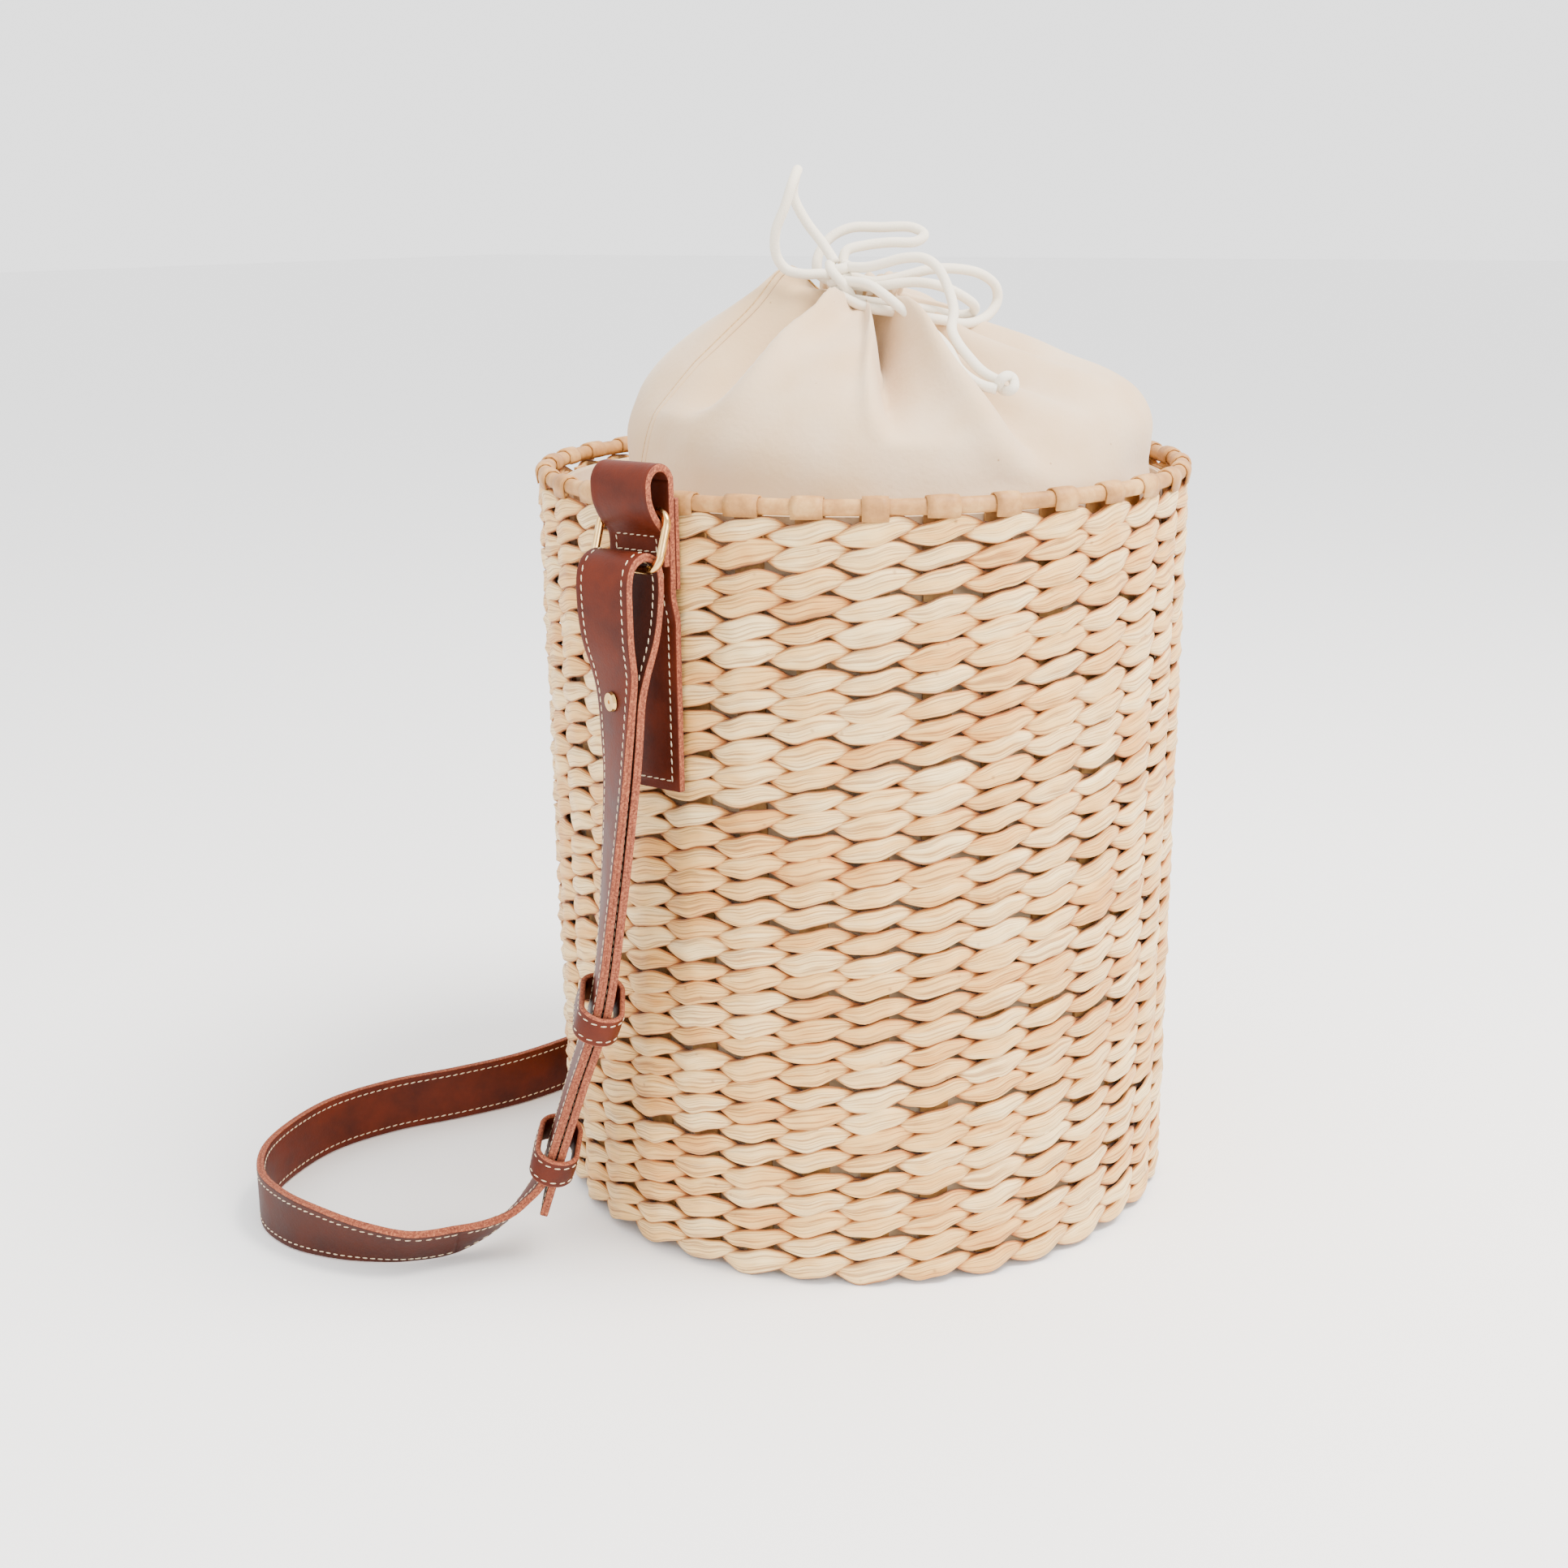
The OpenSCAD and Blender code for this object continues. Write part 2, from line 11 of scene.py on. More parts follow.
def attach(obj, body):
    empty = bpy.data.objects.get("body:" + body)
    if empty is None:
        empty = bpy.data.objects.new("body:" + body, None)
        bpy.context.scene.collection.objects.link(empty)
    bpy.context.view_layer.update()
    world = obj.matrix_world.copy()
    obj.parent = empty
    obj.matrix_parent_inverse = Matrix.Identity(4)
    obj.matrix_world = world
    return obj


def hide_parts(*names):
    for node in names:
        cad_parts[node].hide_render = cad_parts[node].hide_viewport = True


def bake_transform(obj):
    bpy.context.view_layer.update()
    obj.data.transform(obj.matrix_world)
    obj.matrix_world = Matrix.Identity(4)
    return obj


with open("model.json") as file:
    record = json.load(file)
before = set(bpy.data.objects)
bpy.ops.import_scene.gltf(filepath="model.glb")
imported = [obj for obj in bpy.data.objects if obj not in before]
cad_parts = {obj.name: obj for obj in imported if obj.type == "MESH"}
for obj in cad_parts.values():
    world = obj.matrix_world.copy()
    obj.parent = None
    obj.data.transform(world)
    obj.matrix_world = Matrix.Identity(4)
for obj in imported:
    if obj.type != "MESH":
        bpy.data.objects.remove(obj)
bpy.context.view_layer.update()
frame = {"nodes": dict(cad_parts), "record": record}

print("frame loaded:", len(frame["nodes"]), "nodes")

mm = 0.001
turn = 2 * math.pi
rootBody = "bag"
joints = {j["name"]: j for j in frame["record"]["behaviour"]["joints"]}
random.seed(11)


# general helpers

def colour(hexCode):
    # sRGB hex to the linear values that sockets take
    parts = [int(hexCode[i:i + 2], 16) / 255 for i in (1, 3, 5)]
    return (*(c / 12.92 if c <= 0.04045 else ((c + 0.055) / 1.055) ** 2.4 for c in parts), 1.0)


def setInputs(tree, node, inputs):
    # a value is set, and a socket or the first output of a node is linked
    for key, value in inputs.items():
        if isinstance(value, bpy.types.Node):
            value = value.outputs[0]
        if isinstance(value, bpy.types.NodeSocket):
            tree.links.new(value, node.inputs[key])
        else:
            node.inputs[key].default_value = value


def addNode(tree, kind, inputs=None, stops=(), **settings):
    # adds a shader node with its settings and links; stops: a colour ramp's places and colours
    node = tree.nodes.new("ShaderNode" + kind)
    for key, value in settings.items():
        setattr(node, key, value)
    setInputs(tree, node, inputs or {})
    for i, (position, code) in enumerate(stops):
        elements = node.color_ramp.elements
        element = elements[i] if i < len(elements) else elements.new(1.0)
        element.position = position
        element.color = colour(code)
    return node


def newMaterial(name, inputs):
    material = bpy.data.materials.new(name)
    material.use_nodes = True
    tree = material.node_tree
    shader = tree.nodes["Principled BSDF"]
    setInputs(tree, shader, inputs)
    return material, tree, shader, addNode(tree, "TexCoord").outputs["Object"]


def nodeName(piece):
    # the CAD's name of a piece: bowKnot is bow_knot there
    return "".join("_" + c.lower() if c.isupper() else c for c in piece)


def finishPiece(name, bm, materials, body=rootBody, replaces=()):
    bm.normal_update()
    mesh = bpy.data.meshes.new(name)
    bm.to_mesh(mesh)
    bm.free()
    piece = bpy.data.objects.new(name, mesh)
    bpy.context.scene.collection.objects.link(piece)
    for material in materials:
        mesh.materials.append(material)
    for face in mesh.polygons:
        face.use_smooth = True
    if body:
        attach(piece, body)
    if replaces:
        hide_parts(*replaces)
    return piece


def paintNodes(material, *nodes):
    # CAD pieces that stay as they are
    for node in nodes:
        mesh = frame["nodes"][node].data
        mesh.materials.clear()
        mesh.materials.append(material)


def smoothLine(points, steps):
    # an even curve through the points, with a number of steps to a span
    pts = [np.array(p, float) for p in points]
    line = []
    for i in range(len(pts) - 1):
        a, b, c, d = pts[max(i - 1, 0)], pts[i], pts[i + 1], pts[min(i + 2, len(pts) - 1)]
        for j in range(steps):
            t = j / steps
            line.append(0.5 * (2 * b + (c - a) * t + (2 * a - 5 * b + 4 * c - d) * t * t
                               + (3 * b - a - 3 * c + d) * t ** 3))
    line.append(pts[-1])
    return line


def sweep(bm, rings, closedPath=False, caps=True, uvStep=None, edgeKinds=None):
    # extrudes the first ring of points through all the others
    # uvStep: lengths along and widths across for the piece's own UV map
    count = len(rings[0])
    top = len(rings) - 1
    first = verts = [bm.verts.new(p) for p in rings[0]]
    edges = [bm.edges.new((verts[i], verts[(i + 1) % count])) for i in range(count)]
    place = {v: (0, i) for i, v in enumerate(verts)}
    faces = []
    for r, ring in enumerate(rings[1:], 1):
        grown = bmesh.ops.extrude_edge_only(bm, edges=edges)["geom"]
        fresh = [None] * count
        for v in grown:
            if isinstance(v, bmesh.types.BMVert):
                for e in v.link_edges:
                    before = place.get(e.other_vert(v), (-1, 0))
                    if before[0] == r - 1:
                        fresh[before[1]] = v
        for i, v in enumerate(fresh):
            v.co = ring[i]
            place[v] = (r, i)
        faces += [g for g in grown if isinstance(g, bmesh.types.BMFace)]
        edges = [bm.edges.get((fresh[i], fresh[(i + 1) % count])) for i in range(count)]
        verts = fresh
    if closedPath:
        start = [bm.edges.get((first[i], first[(i + 1) % count])) for i in range(count)]
        faces += bmesh.ops.bridge_loops(bm, edges=edges + start)["faces"]
    elif caps:
        bm.faces.new(first[::-1])
        bm.faces.new(verts)
    uv = bm.loops.layers.uv.verify()
    for face in faces:
        spots = [place[loop.vert] for loop in face.loops]
        rs, ks = zip(*spots)
        # the last faces of a ring or a path end at its full length, not at its start
        wrapK = max(ks) == count - 1 and min(ks) == 0
        wrapR = closedPath and max(rs) == top and min(rs) == 0
        for loop, (r, k) in zip(face.loops, spots):
            k = count if wrapK and k == 0 else k
            r = top + 1 if wrapR and r == 0 else r
            loop[uv].uv = (uvStep[0][r], uvStep[1][k]) if uvStep else (r / top, k / count)
        if edgeKinds:
            face.material_index = edgeKinds[count - 1 if wrapK else max(ks) - 1]
    bmesh.ops.recalc_face_normals(bm, faces=bm.faces[:])


def alongLengths(points, closed=False):
    line = [Vector(p) for p in points]
    if closed:
        line.append(line[0])
    lengths = [0.0]
    for a, b in zip(line, line[1:]):
        lengths.append(lengths[-1] + (b - a).length)
    return lengths


def sweptTube(bm, points, radius, sides=12):
    # round rings carried along a route without twisting
    pts = [Vector(p) for p in points]
    rings = []
    side = None
    for i, p in enumerate(pts):
        heading = (pts[min(i + 1, len(pts) - 1)] - pts[max(i - 1, 0)]).normalized()
        if side is None:
            side = heading.cross(Vector((0.3, 0.9, 0.2))).normalized()
        side = (side - heading * side.dot(heading)).normalized()
        other = heading.cross(side)
        rings.append([p + radius * (math.cos(turn * k / sides) * side
                                    + math.sin(turn * k / sides) * other)
                      for k in range(sides)])
    around = [turn * radius * k / sides for k in range(sides + 1)]
    sweep(bm, rings, uvStep=(alongLengths(points), around))


# camera, at the height of a table-top view of the bag

cameraView = {
    "place": (-0.7495, -0.5248, 0.4294),
    "heading": -52.78,    # degrees, 0 looks along +Y
    "down": 15.435,
    "roll": -0.70,
    "lens": 48.24,
}

cameraData = bpy.data.cameras.new("camera")
camera = bpy.data.objects.new("camera", cameraData)
bpy.context.scene.collection.objects.link(camera)
cameraData.sensor_width = 36
cameraData.lens = cameraView["lens"]
cameraData.clip_start = 0.02
cameraData.clip_end = 50
camera.location = cameraView["place"]
camera.rotation_mode = "QUATERNION"
camera.rotation_quaternion = (
    Matrix.Rotation(math.radians(cameraView["heading"]), 3, "Z")
    @ Matrix.Rotation(math.radians(90 - cameraView["down"]), 3, "X")
    @ Matrix.Rotation(math.radians(cameraView["roll"]), 3, "Z")
).to_quaternion()
bpy.context.scene.camera = camera


# materials

tint = {"data_type": "RGBA", "blend_type": "MULTIPLY"}    # a Mix node that darkens a colour


def canvasMaterial():
    # unbleached cotton canvas: matt, plain weave of thick yarn, tiny brown husks in the yarn
    material, tree, shader, position = newMaterial("cottonCanvas", {
        "Roughness": 0.92, "Sheen Weight": 0.25, "Sheen Roughness": 0.5})
    split = addNode(tree, "SeparateXYZ", {0: addNode(tree, "UVMap", uv_map="UVMap")})
    yarn = 1.5 * mm       # warp and weft pass over each other at every yarn
    waves = []
    for axis in ("X", "Y"):
        scaled = addNode(tree, "Math", {0: split.outputs[axis], 1: math.pi / yarn},
                         operation="MULTIPLY")
        waves.append(addNode(tree, "Math", {0: scaled}, operation="SINE"))
    product = addNode(tree, "Math", {0: waves[0], 1: waves[1]}, operation="MULTIPLY")
    weave = addNode(tree, "Math", {0: product}, operation="ABSOLUTE")
    slub = addNode(tree, "TexNoise", {"Vector": position, "Scale": 420.0, "Detail": 3.0})
    cloud = addNode(tree, "TexNoise", {"Vector": position, "Scale": 22.0, "Detail": 3.0})
    tone = addNode(tree, "ValToRGB", {"Fac": cloud}, [(0.35, "#f4ddb8"), (0.65, "#fdeed6")])
    # painted shade in the hollows between the yarns, darker where warp and weft dip; the mix below
    # lays it over the cloth's tone
    weaveShade = addNode(tree, "ValToRGB", {"Fac": weave}, [(0.0, "#ab8a58"), (0.55, "#ffffff")])
    woven = addNode(tree, "Mix", {0: 0.6, 6: tone, 7: weaveShade}, **tint).outputs[2]
    husk = addNode(tree, "TexVoronoi", {"Vector": position, "Scale": 130.0})
    speck = addNode(tree, "ValToRGB", {"Fac": husk}, [(0.0, "#a8865a"), (0.075, "#ffffff")])
    rare = addNode(tree, "TexNoise", {"Vector": position, "Scale": 60.0})
    gate = addNode(tree, "MapRange", {0: rare, 1: 0.58, 2: 0.62})
    relief = addNode(tree, "Math", {0: weave, 1: slub}, operation="ADD")
    setInputs(tree, shader, {
        "Base Color": addNode(tree, "Mix", {0: gate, 6: woven, 7: speck}, **tint).outputs[2],
        "Normal": addNode(tree, "Bump", {"Height": relief, "Distance": 0.25 * mm,
                                         "Strength": 0.8})})
    return material


def strawMaterial():
    # dried split leaf: pale and waxy with fine ribs along each strand, tan where it is older
    material, tree, shader, position = newMaterial("twinedStraw", {
        "Roughness": 0.55, "Sheen Weight": 0.12, "Specular IOR Level": 0.35})
    uv = addNode(tree, "UVMap", uv_map="UVMap")
    lobe = addNode(tree, "Attribute", attribute_name="lobeTone").outputs["Fac"]
    # ribs about 0.7 mm apart and tens of millimetres long
    ribPlace = addNode(tree, "Mapping", {"Vector": uv, "Scale": (24.0, 1500.0, 1.0)})
    ribs = addNode(tree, "TexNoise", {"Vector": ribPlace, "Scale": 1.0, "Detail": 4.0,
                                      "Roughness": 0.6})
    broadPlace = addNode(tree, "Mapping", {"Vector": uv, "Scale": (40.0, 260.0, 1.0)})
    broad = addNode(tree, "TexNoise", {"Vector": broadPlace, "Scale": 1.0, "Detail": 2.0})
    blotch = addNode(tree, "TexNoise", {"Vector": position, "Scale": 55.0, "Detail": 3.0})
    mixed = addNode(tree, "Math", {0: lobe, 1: 0.22}, operation="MULTIPLY")
    for part, share in ((broad, 0.42), (blotch, 0.22)):
        mixed = addNode(tree, "Math", {0: part, 1: share, 2: mixed}, operation="MULTIPLY_ADD")
    tone = addNode(tree, "ValToRGB", {"Fac": mixed},
                   [(0.28, "#d99c4e"), (0.42, "#e9ba70"), (0.58, "#f4d498")])
    ribTone = addNode(tree, "ValToRGB", {"Fac": ribs}, [(0.4, "#86592c"), (0.52, "#ffffff")])
    # brown flecks where the leaf was bruised, a few to a hand's width
    bruise = addNode(tree, "TexVoronoi", {"Vector": position, "Scale": 90.0})
    fleck = addNode(tree, "ValToRGB", {"Fac": bruise}, [(0.0, "#8a5a30"), (0.1, "#ffffff")])
    # painted shade: deeper brown along a lobe's rims, towards its tips and where the strand tucks
    # behind the stakes
    paintedShade = addNode(tree, "Attribute", attribute_name="lobeShade").outputs["Fac"]
    shade = addNode(tree, "ValToRGB", {"Fac": paintedShade}, [(0.2, "#ffffff"), (0.48, "#cca06a"),
                                                        (0.8, "#80592f"), (1.0, "#4a321b")])
    for factor, layer in ((0.6, ribTone), (0.6, fleck), (1.0, shade)):
        tone = addNode(tree, "Mix", {0: factor, 6: tone, 7: layer}, **tint).outputs[2]
    relief = addNode(tree, "Math", {0: broad, 1: 1.3, 2: ribs}, operation="MULTIPLY_ADD")
    setInputs(tree, shader, {
        "Base Color": tone,
        "Normal": addNode(tree, "Bump", {"Height": relief, "Distance": 0.9 * mm,
                                         "Strength": 0.55})})
    return material


def mottledMaterial(name, inputs, noiseInputs, stops, grain):
    # one noise between colours, with a fine grain: scale, height in mm and strength
    material, tree, shader, position = newMaterial(name, inputs)
    mottle = addNode(tree, "TexNoise", {"Vector": position, **noiseInputs})
    setInputs(tree, shader, {"Base Color": addNode(tree, "ValToRGB", {"Fac": mottle}, stops)})
    if grain:
        scale, high, strength = grain
        fine = mottle if scale == noiseInputs["Scale"] else addNode(
            tree, "TexNoise", {"Vector": position, "Scale": scale, "Detail": 2.0})
        setInputs(tree, shader, {"Normal": addNode(tree, "Bump", {
            "Height": fine, "Distance": high * mm, "Strength": strength})})
    return material


def leatherMaterial(name, dark, light, roughness):
    # full-grain cowhide, dyed tan and finished smooth: low sheen, pores about 0.4 mm
    material, tree, shader, position = newMaterial(name, {
        "Specular IOR Level": 0.15, "Coat Weight": 0.05, "Coat Roughness": 0.35})
    cloud = addNode(tree, "TexNoise", {"Vector": position, "Scale": 60.0, "Detail": 4.0,
                                       "Roughness": 0.6})
    pores = addNode(tree, "TexVoronoi", {"Vector": position, "Scale": 1300.0},
                    feature="SMOOTH_F1")
    crease = addNode(tree, "TexNoise", {"Vector": position, "Scale": 350.0, "Detail": 4.0})
    relief = addNode(tree, "Math", {0: crease, 1: 1.6, 2: pores}, operation="MULTIPLY_ADD")
    setInputs(tree, shader, {
        "Base Color": addNode(tree, "ValToRGB", {"Fac": cloud}, [(0.3, dark), (0.7, light)]),
        "Roughness": addNode(tree, "MapRange", {0: cloud, 1: 0.3, 2: 0.7, 3: roughness - 0.05,
                                                4: roughness + 0.08}),
        "Normal": addNode(tree, "Bump", {"Height": relief, "Distance": 0.12 * mm,
                                         "Strength": 0.4})})
    return material


def cordMaterial():
    # braided cotton cord: matt, short diagonal plaits about 1.3 mm across
    material, tree, shader, position = newMaterial("braidedCotton", {
        "Roughness": 0.9, "Sheen Weight": 0.3})
    split = addNode(tree, "SeparateXYZ", {0: addNode(tree, "UVMap", uv_map="UVMap")})
    around = addNode(tree, "Math", {0: split.outputs["Y"], 1: 6 / (2.1 * mm)},
                     operation="MULTIPLY")
    along = addNode(tree, "Math", {0: split.outputs["X"], 1: turn / (2.6 * mm)},
                    operation="MULTIPLY")
    plaits = []
    for kind in ("ADD", "SUBTRACT"):
        phase = addNode(tree, "Math", {0: along, 1: around}, operation=kind)
        plaits.append(addNode(tree, "Math", {0: phase}, operation="SINE"))
    both = addNode(tree, "Math", {0: plaits[0], 1: plaits[1]}, operation="MULTIPLY")
    fuzz = addNode(tree, "TexNoise", {"Vector": position, "Scale": 1600.0})
    relief = addNode(tree, "Math", {0: both, 1: 0.7, 2: fuzz}, operation="MULTIPLY_ADD")
    # the colour is lighter on the plaits' crowns and darker in the dips between them: painted
    # shade
    setInputs(tree, shader, {
        "Base Color": addNode(tree, "ValToRGB", {"Fac": both},
                              [(0.0, "#e3d9c6"), (0.6, "#fbf6ec")]),
        "Normal": addNode(tree, "Bump", {"Height": relief, "Distance": 0.25 * mm,
                                         "Strength": 0.7})})
    return material


def goldMaterial():
    # zinc ring and rivets with a polished pale gold plating, a few hairline rub marks
    material, tree, shader, position = newMaterial("paleGoldPlate", {"Metallic": 1.0})
    rub = addNode(tree, "TexNoise", {"Vector": position, "Scale": 260.0, "Detail": 4.0})
    setInputs(tree, shader, {
        "Base Color": addNode(tree, "ValToRGB", {"Fac": rub},
                              [(0.3, "#c79b58"), (0.7, "#dfba80")]),
        "Roughness": addNode(tree, "MapRange", {0: rub, 1: 0.35, 2: 0.7, 3: 0.12, 4: 0.24})})
    return material


cottonCanvas = canvasMaterial()
wovenStraw = strawMaterial()
# flat stakes, rim rod and wraps: the same leaf, laid along its length
flatStraw = mottledMaterial(
    "flatLeafStraw", {"Roughness": 0.58, "Specular IOR Level": 0.35},
    {"Scale": 70.0, "Detail": 5.0, "Roughness": 0.65},
    [(0.3, "#8a5c2c"), (0.5, "#ae7c44"), (0.72, "#cfa265")], (900.0, 0.2, 0.5))
strapLeather = leatherMaterial("tanCowhide", "#3d1104", "#551c08", 0.52)
liningLeather = leatherMaterial("liningCowhide", "#321006", "#43190b", 0.55)
# cut edge, unsealed: paler and orange, with loose fibres that make a coarse grain
rawEdge = mottledMaterial(
    "rawLeatherEdge", {"Roughness": 0.85}, {"Scale": 1100.0, "Detail": 3.0, "Roughness": 0.7},
    [(0.3, "#4a1b0c"), (0.5, "#7f3c22"), (0.7, "#a9643f")], (1100.0, 0.35, 0.9))
# waxed linen sewing thread: two twisted plies, slight gloss
waxedThread, tanThread = (
    mottledMaterial(name, {"Roughness": 0.55}, {"Scale": 1500.0},
                    [(0.35, dark), (0.65, light)], None)
    for name, dark, light in (("waxedThread", "#b59b78", "#e2d0b2"),
                              ("tanSeamThread", "#9a7340", "#c79f66")))
braidedCotton = cordMaterial()
paleGold = goldMaterial()
print("materials made")


# drawcord and its bow

bow = {
    "turn": -55,         # degrees, the bow's own across and away directions
    "neck": 389.5,       # mm, height that the routes are counted from
    "thick": 4.2,
    "steps": 7,
}
bowRoutes = {            # across, away, up, in mm
    "bowLoopLeft": [(-11, -24, 16.5), (-16, -20, 24), (-23, -17, 33), (-28, -16, 43),
                    (-27, -19, 51), (-26, -25, 53), (-28, -30, 48), (-31, -31, 39),
                    (-35, -30, 29), (-35, -28, 20), (-31, -27, 14), (-24, -28, 12),
                    (-17, -27, 12), (-13, -25.5, 11.5)],
    "bowLoopTop": [(-8, -19.5, 15.5), (-6, -17, 21), (2, -15, 23), (12, -14, 24),
                   (22, -13, 24), (26, -10, 27), (20, -7, 30), (8, -6, 30), (-4, -6, 30),
                   (-13, -8, 26), (-18, -12, 19), (-18, -17, 12), (-13, -19.8, 9)],
    "bowLoopInner": [(-4.2, -23.4, 7.2), (4, -24, 6.5), (10, -25, 7), (17, -25, 8),
                     (25, -25, 8), (34, -23, 6), (42, -20, 2), (47, -15, -2), (46, -11, -5),
                     (39, -13, -6), (31, -19, -4), (22, -26, -2), (13, -29, -0.5),
                     (4, -29, 0.5), (-5.5, -26, 2)],
    "bowLoopOuter": [(-6.1, -19.2, 11.5), (3, -19, 8.5), (11, -18, 9), (20, -16, 11),
                     (29, -14, 13), (39, -11, 13), (49, -8, 11), (56, -5, 6), (57, -4, -1),
                     (52, -9, -7), (43, -19, -9), (33, -28, -7), (22, -34, -5),
                     (12, -36, -3), (1, -35, -1), (-10, -28.5, 4)],
    "bowTailLong": [(-5.1, -25.3, 14.5), (2, -29, 14.5), (9, -31, 16), (17, -33, 18),
                    (25, -35, 18), (31, -38, 14), (35, -42, 6), (37, -48, -2),
                    (36, -55, -9), (38, -65, -14), (42, -74, -19), (47, -82, -24),
                    (53.5, -87, -27.5)],
    "bowTailShort": [(-6.8, -27.3, 9), (2, -33, 8), (9, -38.5, 4), (18, -46, -3),
                     (28, -57, -10), (34, -69, -16), (38, -80, -23), (45, -89, -28),
                     (52, -91, -30)],
}
bowTurn = Matrix.Rotation(math.radians(bow["turn"]), 3, "Z")


def bowPoint(p):
    return bowTurn @ (Vector((p[0], p[1], p[2] + bow["neck"])) * mm)


for name, route in bowRoutes.items():
    line = [bowPoint(p) for p in smoothLine(route, bow["steps"])]
    bm = bmesh.new()
    sweptTube(bm, line, bow["thick"] / 2 * mm)
    piece = finishPiece(name, bm, [braidedCotton],
                        replaces=[nodeName(name)])

# the knot: turns of the same cord round the bundle, with one turn crossing over
bowKnot = {"across": -9, "away": -23, "low": 2.4, "high": 15.6, "radius": 3.3, "turns": 3.1,
           "thick": 4.4, "crossingThick": 4.2,
           "crossing": [(-4.5, -26.5, 3), (-6.5, -28.6, 6.5), (-9.5, -29.2, 10),
                        (-12.5, -27, 13.5), (-13, -23.5, 16)]}
knotLine = []
for i in range(60):
    a = turn * bowKnot["turns"] * i / 59 + 0.6
    knotLine.append(bowPoint((bowKnot["across"] + bowKnot["radius"] * math.cos(a),
                              bowKnot["away"] + bowKnot["radius"] * math.sin(a),
                              bowKnot["low"] + (bowKnot["high"] - bowKnot["low"]) * i / 59)))
bm = bmesh.new()
sweptTube(bm, knotLine, bowKnot["thick"] / 2 * mm)
sweptTube(bm, [bowPoint(p) for p in smoothLine(bowKnot["crossing"], 5)],
          bowKnot["crossingThick"] / 2 * mm)
finishPiece("bowKnot", bm, [braidedCotton], replaces=["bow_knot"])

# overhand knot at the tails' end
endKnot = {"place": Vector((56, -89, -28)), "radius": 2.9, "weave": 1.9, "turns": 1.6,
           "thick": 4.0}
coil = []
for i in range(40):
    a = turn * endKnot["turns"] * i / 39
    coil.append(bowPoint(endKnot["place"] + Vector((
        endKnot["radius"] * math.cos(a), endKnot["weave"] * math.sin(2 * a),
        endKnot["radius"] * math.sin(a)))))
bm = bmesh.new()
sweptTube(bm, coil, endKnot["thick"] / 2 * mm)
finishPiece("tailKnot", bm, [braidedCotton], replaces=["end_knot"])
print("cord and bow made")


# twined straw wall

basket = {
    "rimRadius": 140.0, "baseRadius": 138.0, "wallHigh": 317.0, "corner": 8.0,
    "stakes": 34, "rows": 33,
    "swing": 1.9,         # mm that a strand moves in and out
    "rise": 2.05,         # mm that a strand climbs over a stake
    "halfHigh": 5.4, "tipHigh": 0.7,     # half heights of a lobe at its middle and its tips
    "halfThick": 1.6,
    "steps": 12, "sides": 10,
    "bands": 6,
}


def wallRadius(z):
    base = basket["baseRadius"]
    r = base + (basket["rimRadius"] - base) * z / basket["wallHigh"]
    c = basket["corner"]
    if z < c:
        r -= c - math.sqrt(max(c * c - (c - z) ** 2, 0))
    return r


def strandTemplate(steps, sides):
    # one closed strand: a ring of points spun round the axis, with each point's two angles
    bm = bmesh.new()
    bmesh.ops.create_circle(bm, cap_ends=False, radius=0.1, segments=sides,
                            matrix=Matrix.Translation((1, 0, 0))
                            @ Matrix.Rotation(math.pi / 2, 4, "X"))
    bmesh.ops.spin(bm, geom=bm.verts[:] + bm.edges[:], cent=(0, 0, 0), axis=(0, 0, 1),
                   dvec=(0, 0, 0), angle=turn, steps=steps, use_merge=True,
                   use_duplicate=False)
    bmesh.ops.recalc_face_normals(bm, faces=bm.faces[:])
    mesh = bpy.data.meshes.new("strandTemplate")
    bm.to_mesh(mesh)
    bm.free()
    co = np.array([v.co for v in mesh.vertices])
    around = np.arctan2(co[:, 1], co[:, 0]) % turn
    section = np.arctan2(co[:, 2], np.hypot(co[:, 0], co[:, 1]) - 1) % turn
    return mesh, around, section


def strandShape(around, section, row, strand, rowZ):
    # a strand bows out over every second stake as a pointed lobe and passes behind the others;
    # the small factors vary the lobes as leaf and hand do
    n = basket["stakes"]
    u = around / turn * n - 0.5 + strand + row
    phase = (np.pi * u + np.pi) % turn - np.pi
    lobe = np.round(u / 2).astype(int) % (n // 2)
    rng = np.random.default_rng(1000 * row + 10 * strand)
    toneOf, highOf, proudOf, shiftOf, crownOf, reachOf = rng.random((6, n // 2))
    reach = 1.25 + 0.16 * reachOf[lobe]
    spindle = np.cos(np.clip(phase / reach, -turn / 4, turn / 4)) ** 0.78
    rowWave = 0.45 * np.sin(around * 3 + row * 1.7) + 0.35 * np.sin(around * 7 + row * 2.9)
    high = basket["tipHigh"] + (basket["halfHigh"] * (0.8 + 0.28 * highOf[lobe])
                                - basket["tipHigh"]) * spindle
    thick = basket["halfThick"] * (0.5 + 0.5 * spindle) * (0.85 + 0.3 * crownOf[lobe])
    across = high * np.sin(section)
    proud = thick * np.sign(np.cos(section)) * np.abs(np.cos(section)) ** 0.5
    # folds along each strand, off its middle
    fold = (0.42 * np.cos(3 * section + toneOf[lobe] * 6)
            + 0.22 * np.cos(5 * section + crownOf[lobe] * 9)
            + 0.26 * np.sin(4.3 * phase + highOf[lobe] * 20 + 1.5 * np.sin(section))) * spindle
    r = basket["swing"] * np.cos(phase) + proud + fold + 0.5 * (proudOf[lobe] - 0.5) * spindle
    uneven = shiftOf[lobe] - 0.5 + 0.4 * np.sin(3.1 * phase + proudOf[lobe] * 20)
    z = rowZ + rowWave + basket["rise"] * np.sin(phase) + across + uneven * spindle
    # painted shade for the straw colour: it rises along each lobe's rims and towards its tips, and
    # is full where the strand runs behind a stake
    shade = 1 - ((1 - 0.6 * np.abs(np.sin(section)) ** 5)
                 * (1 - 0.75 * (1 - spindle) ** 2.2) * (np.cos(phase) > -0.75))
    return r, z, toneOf[lobe], shade


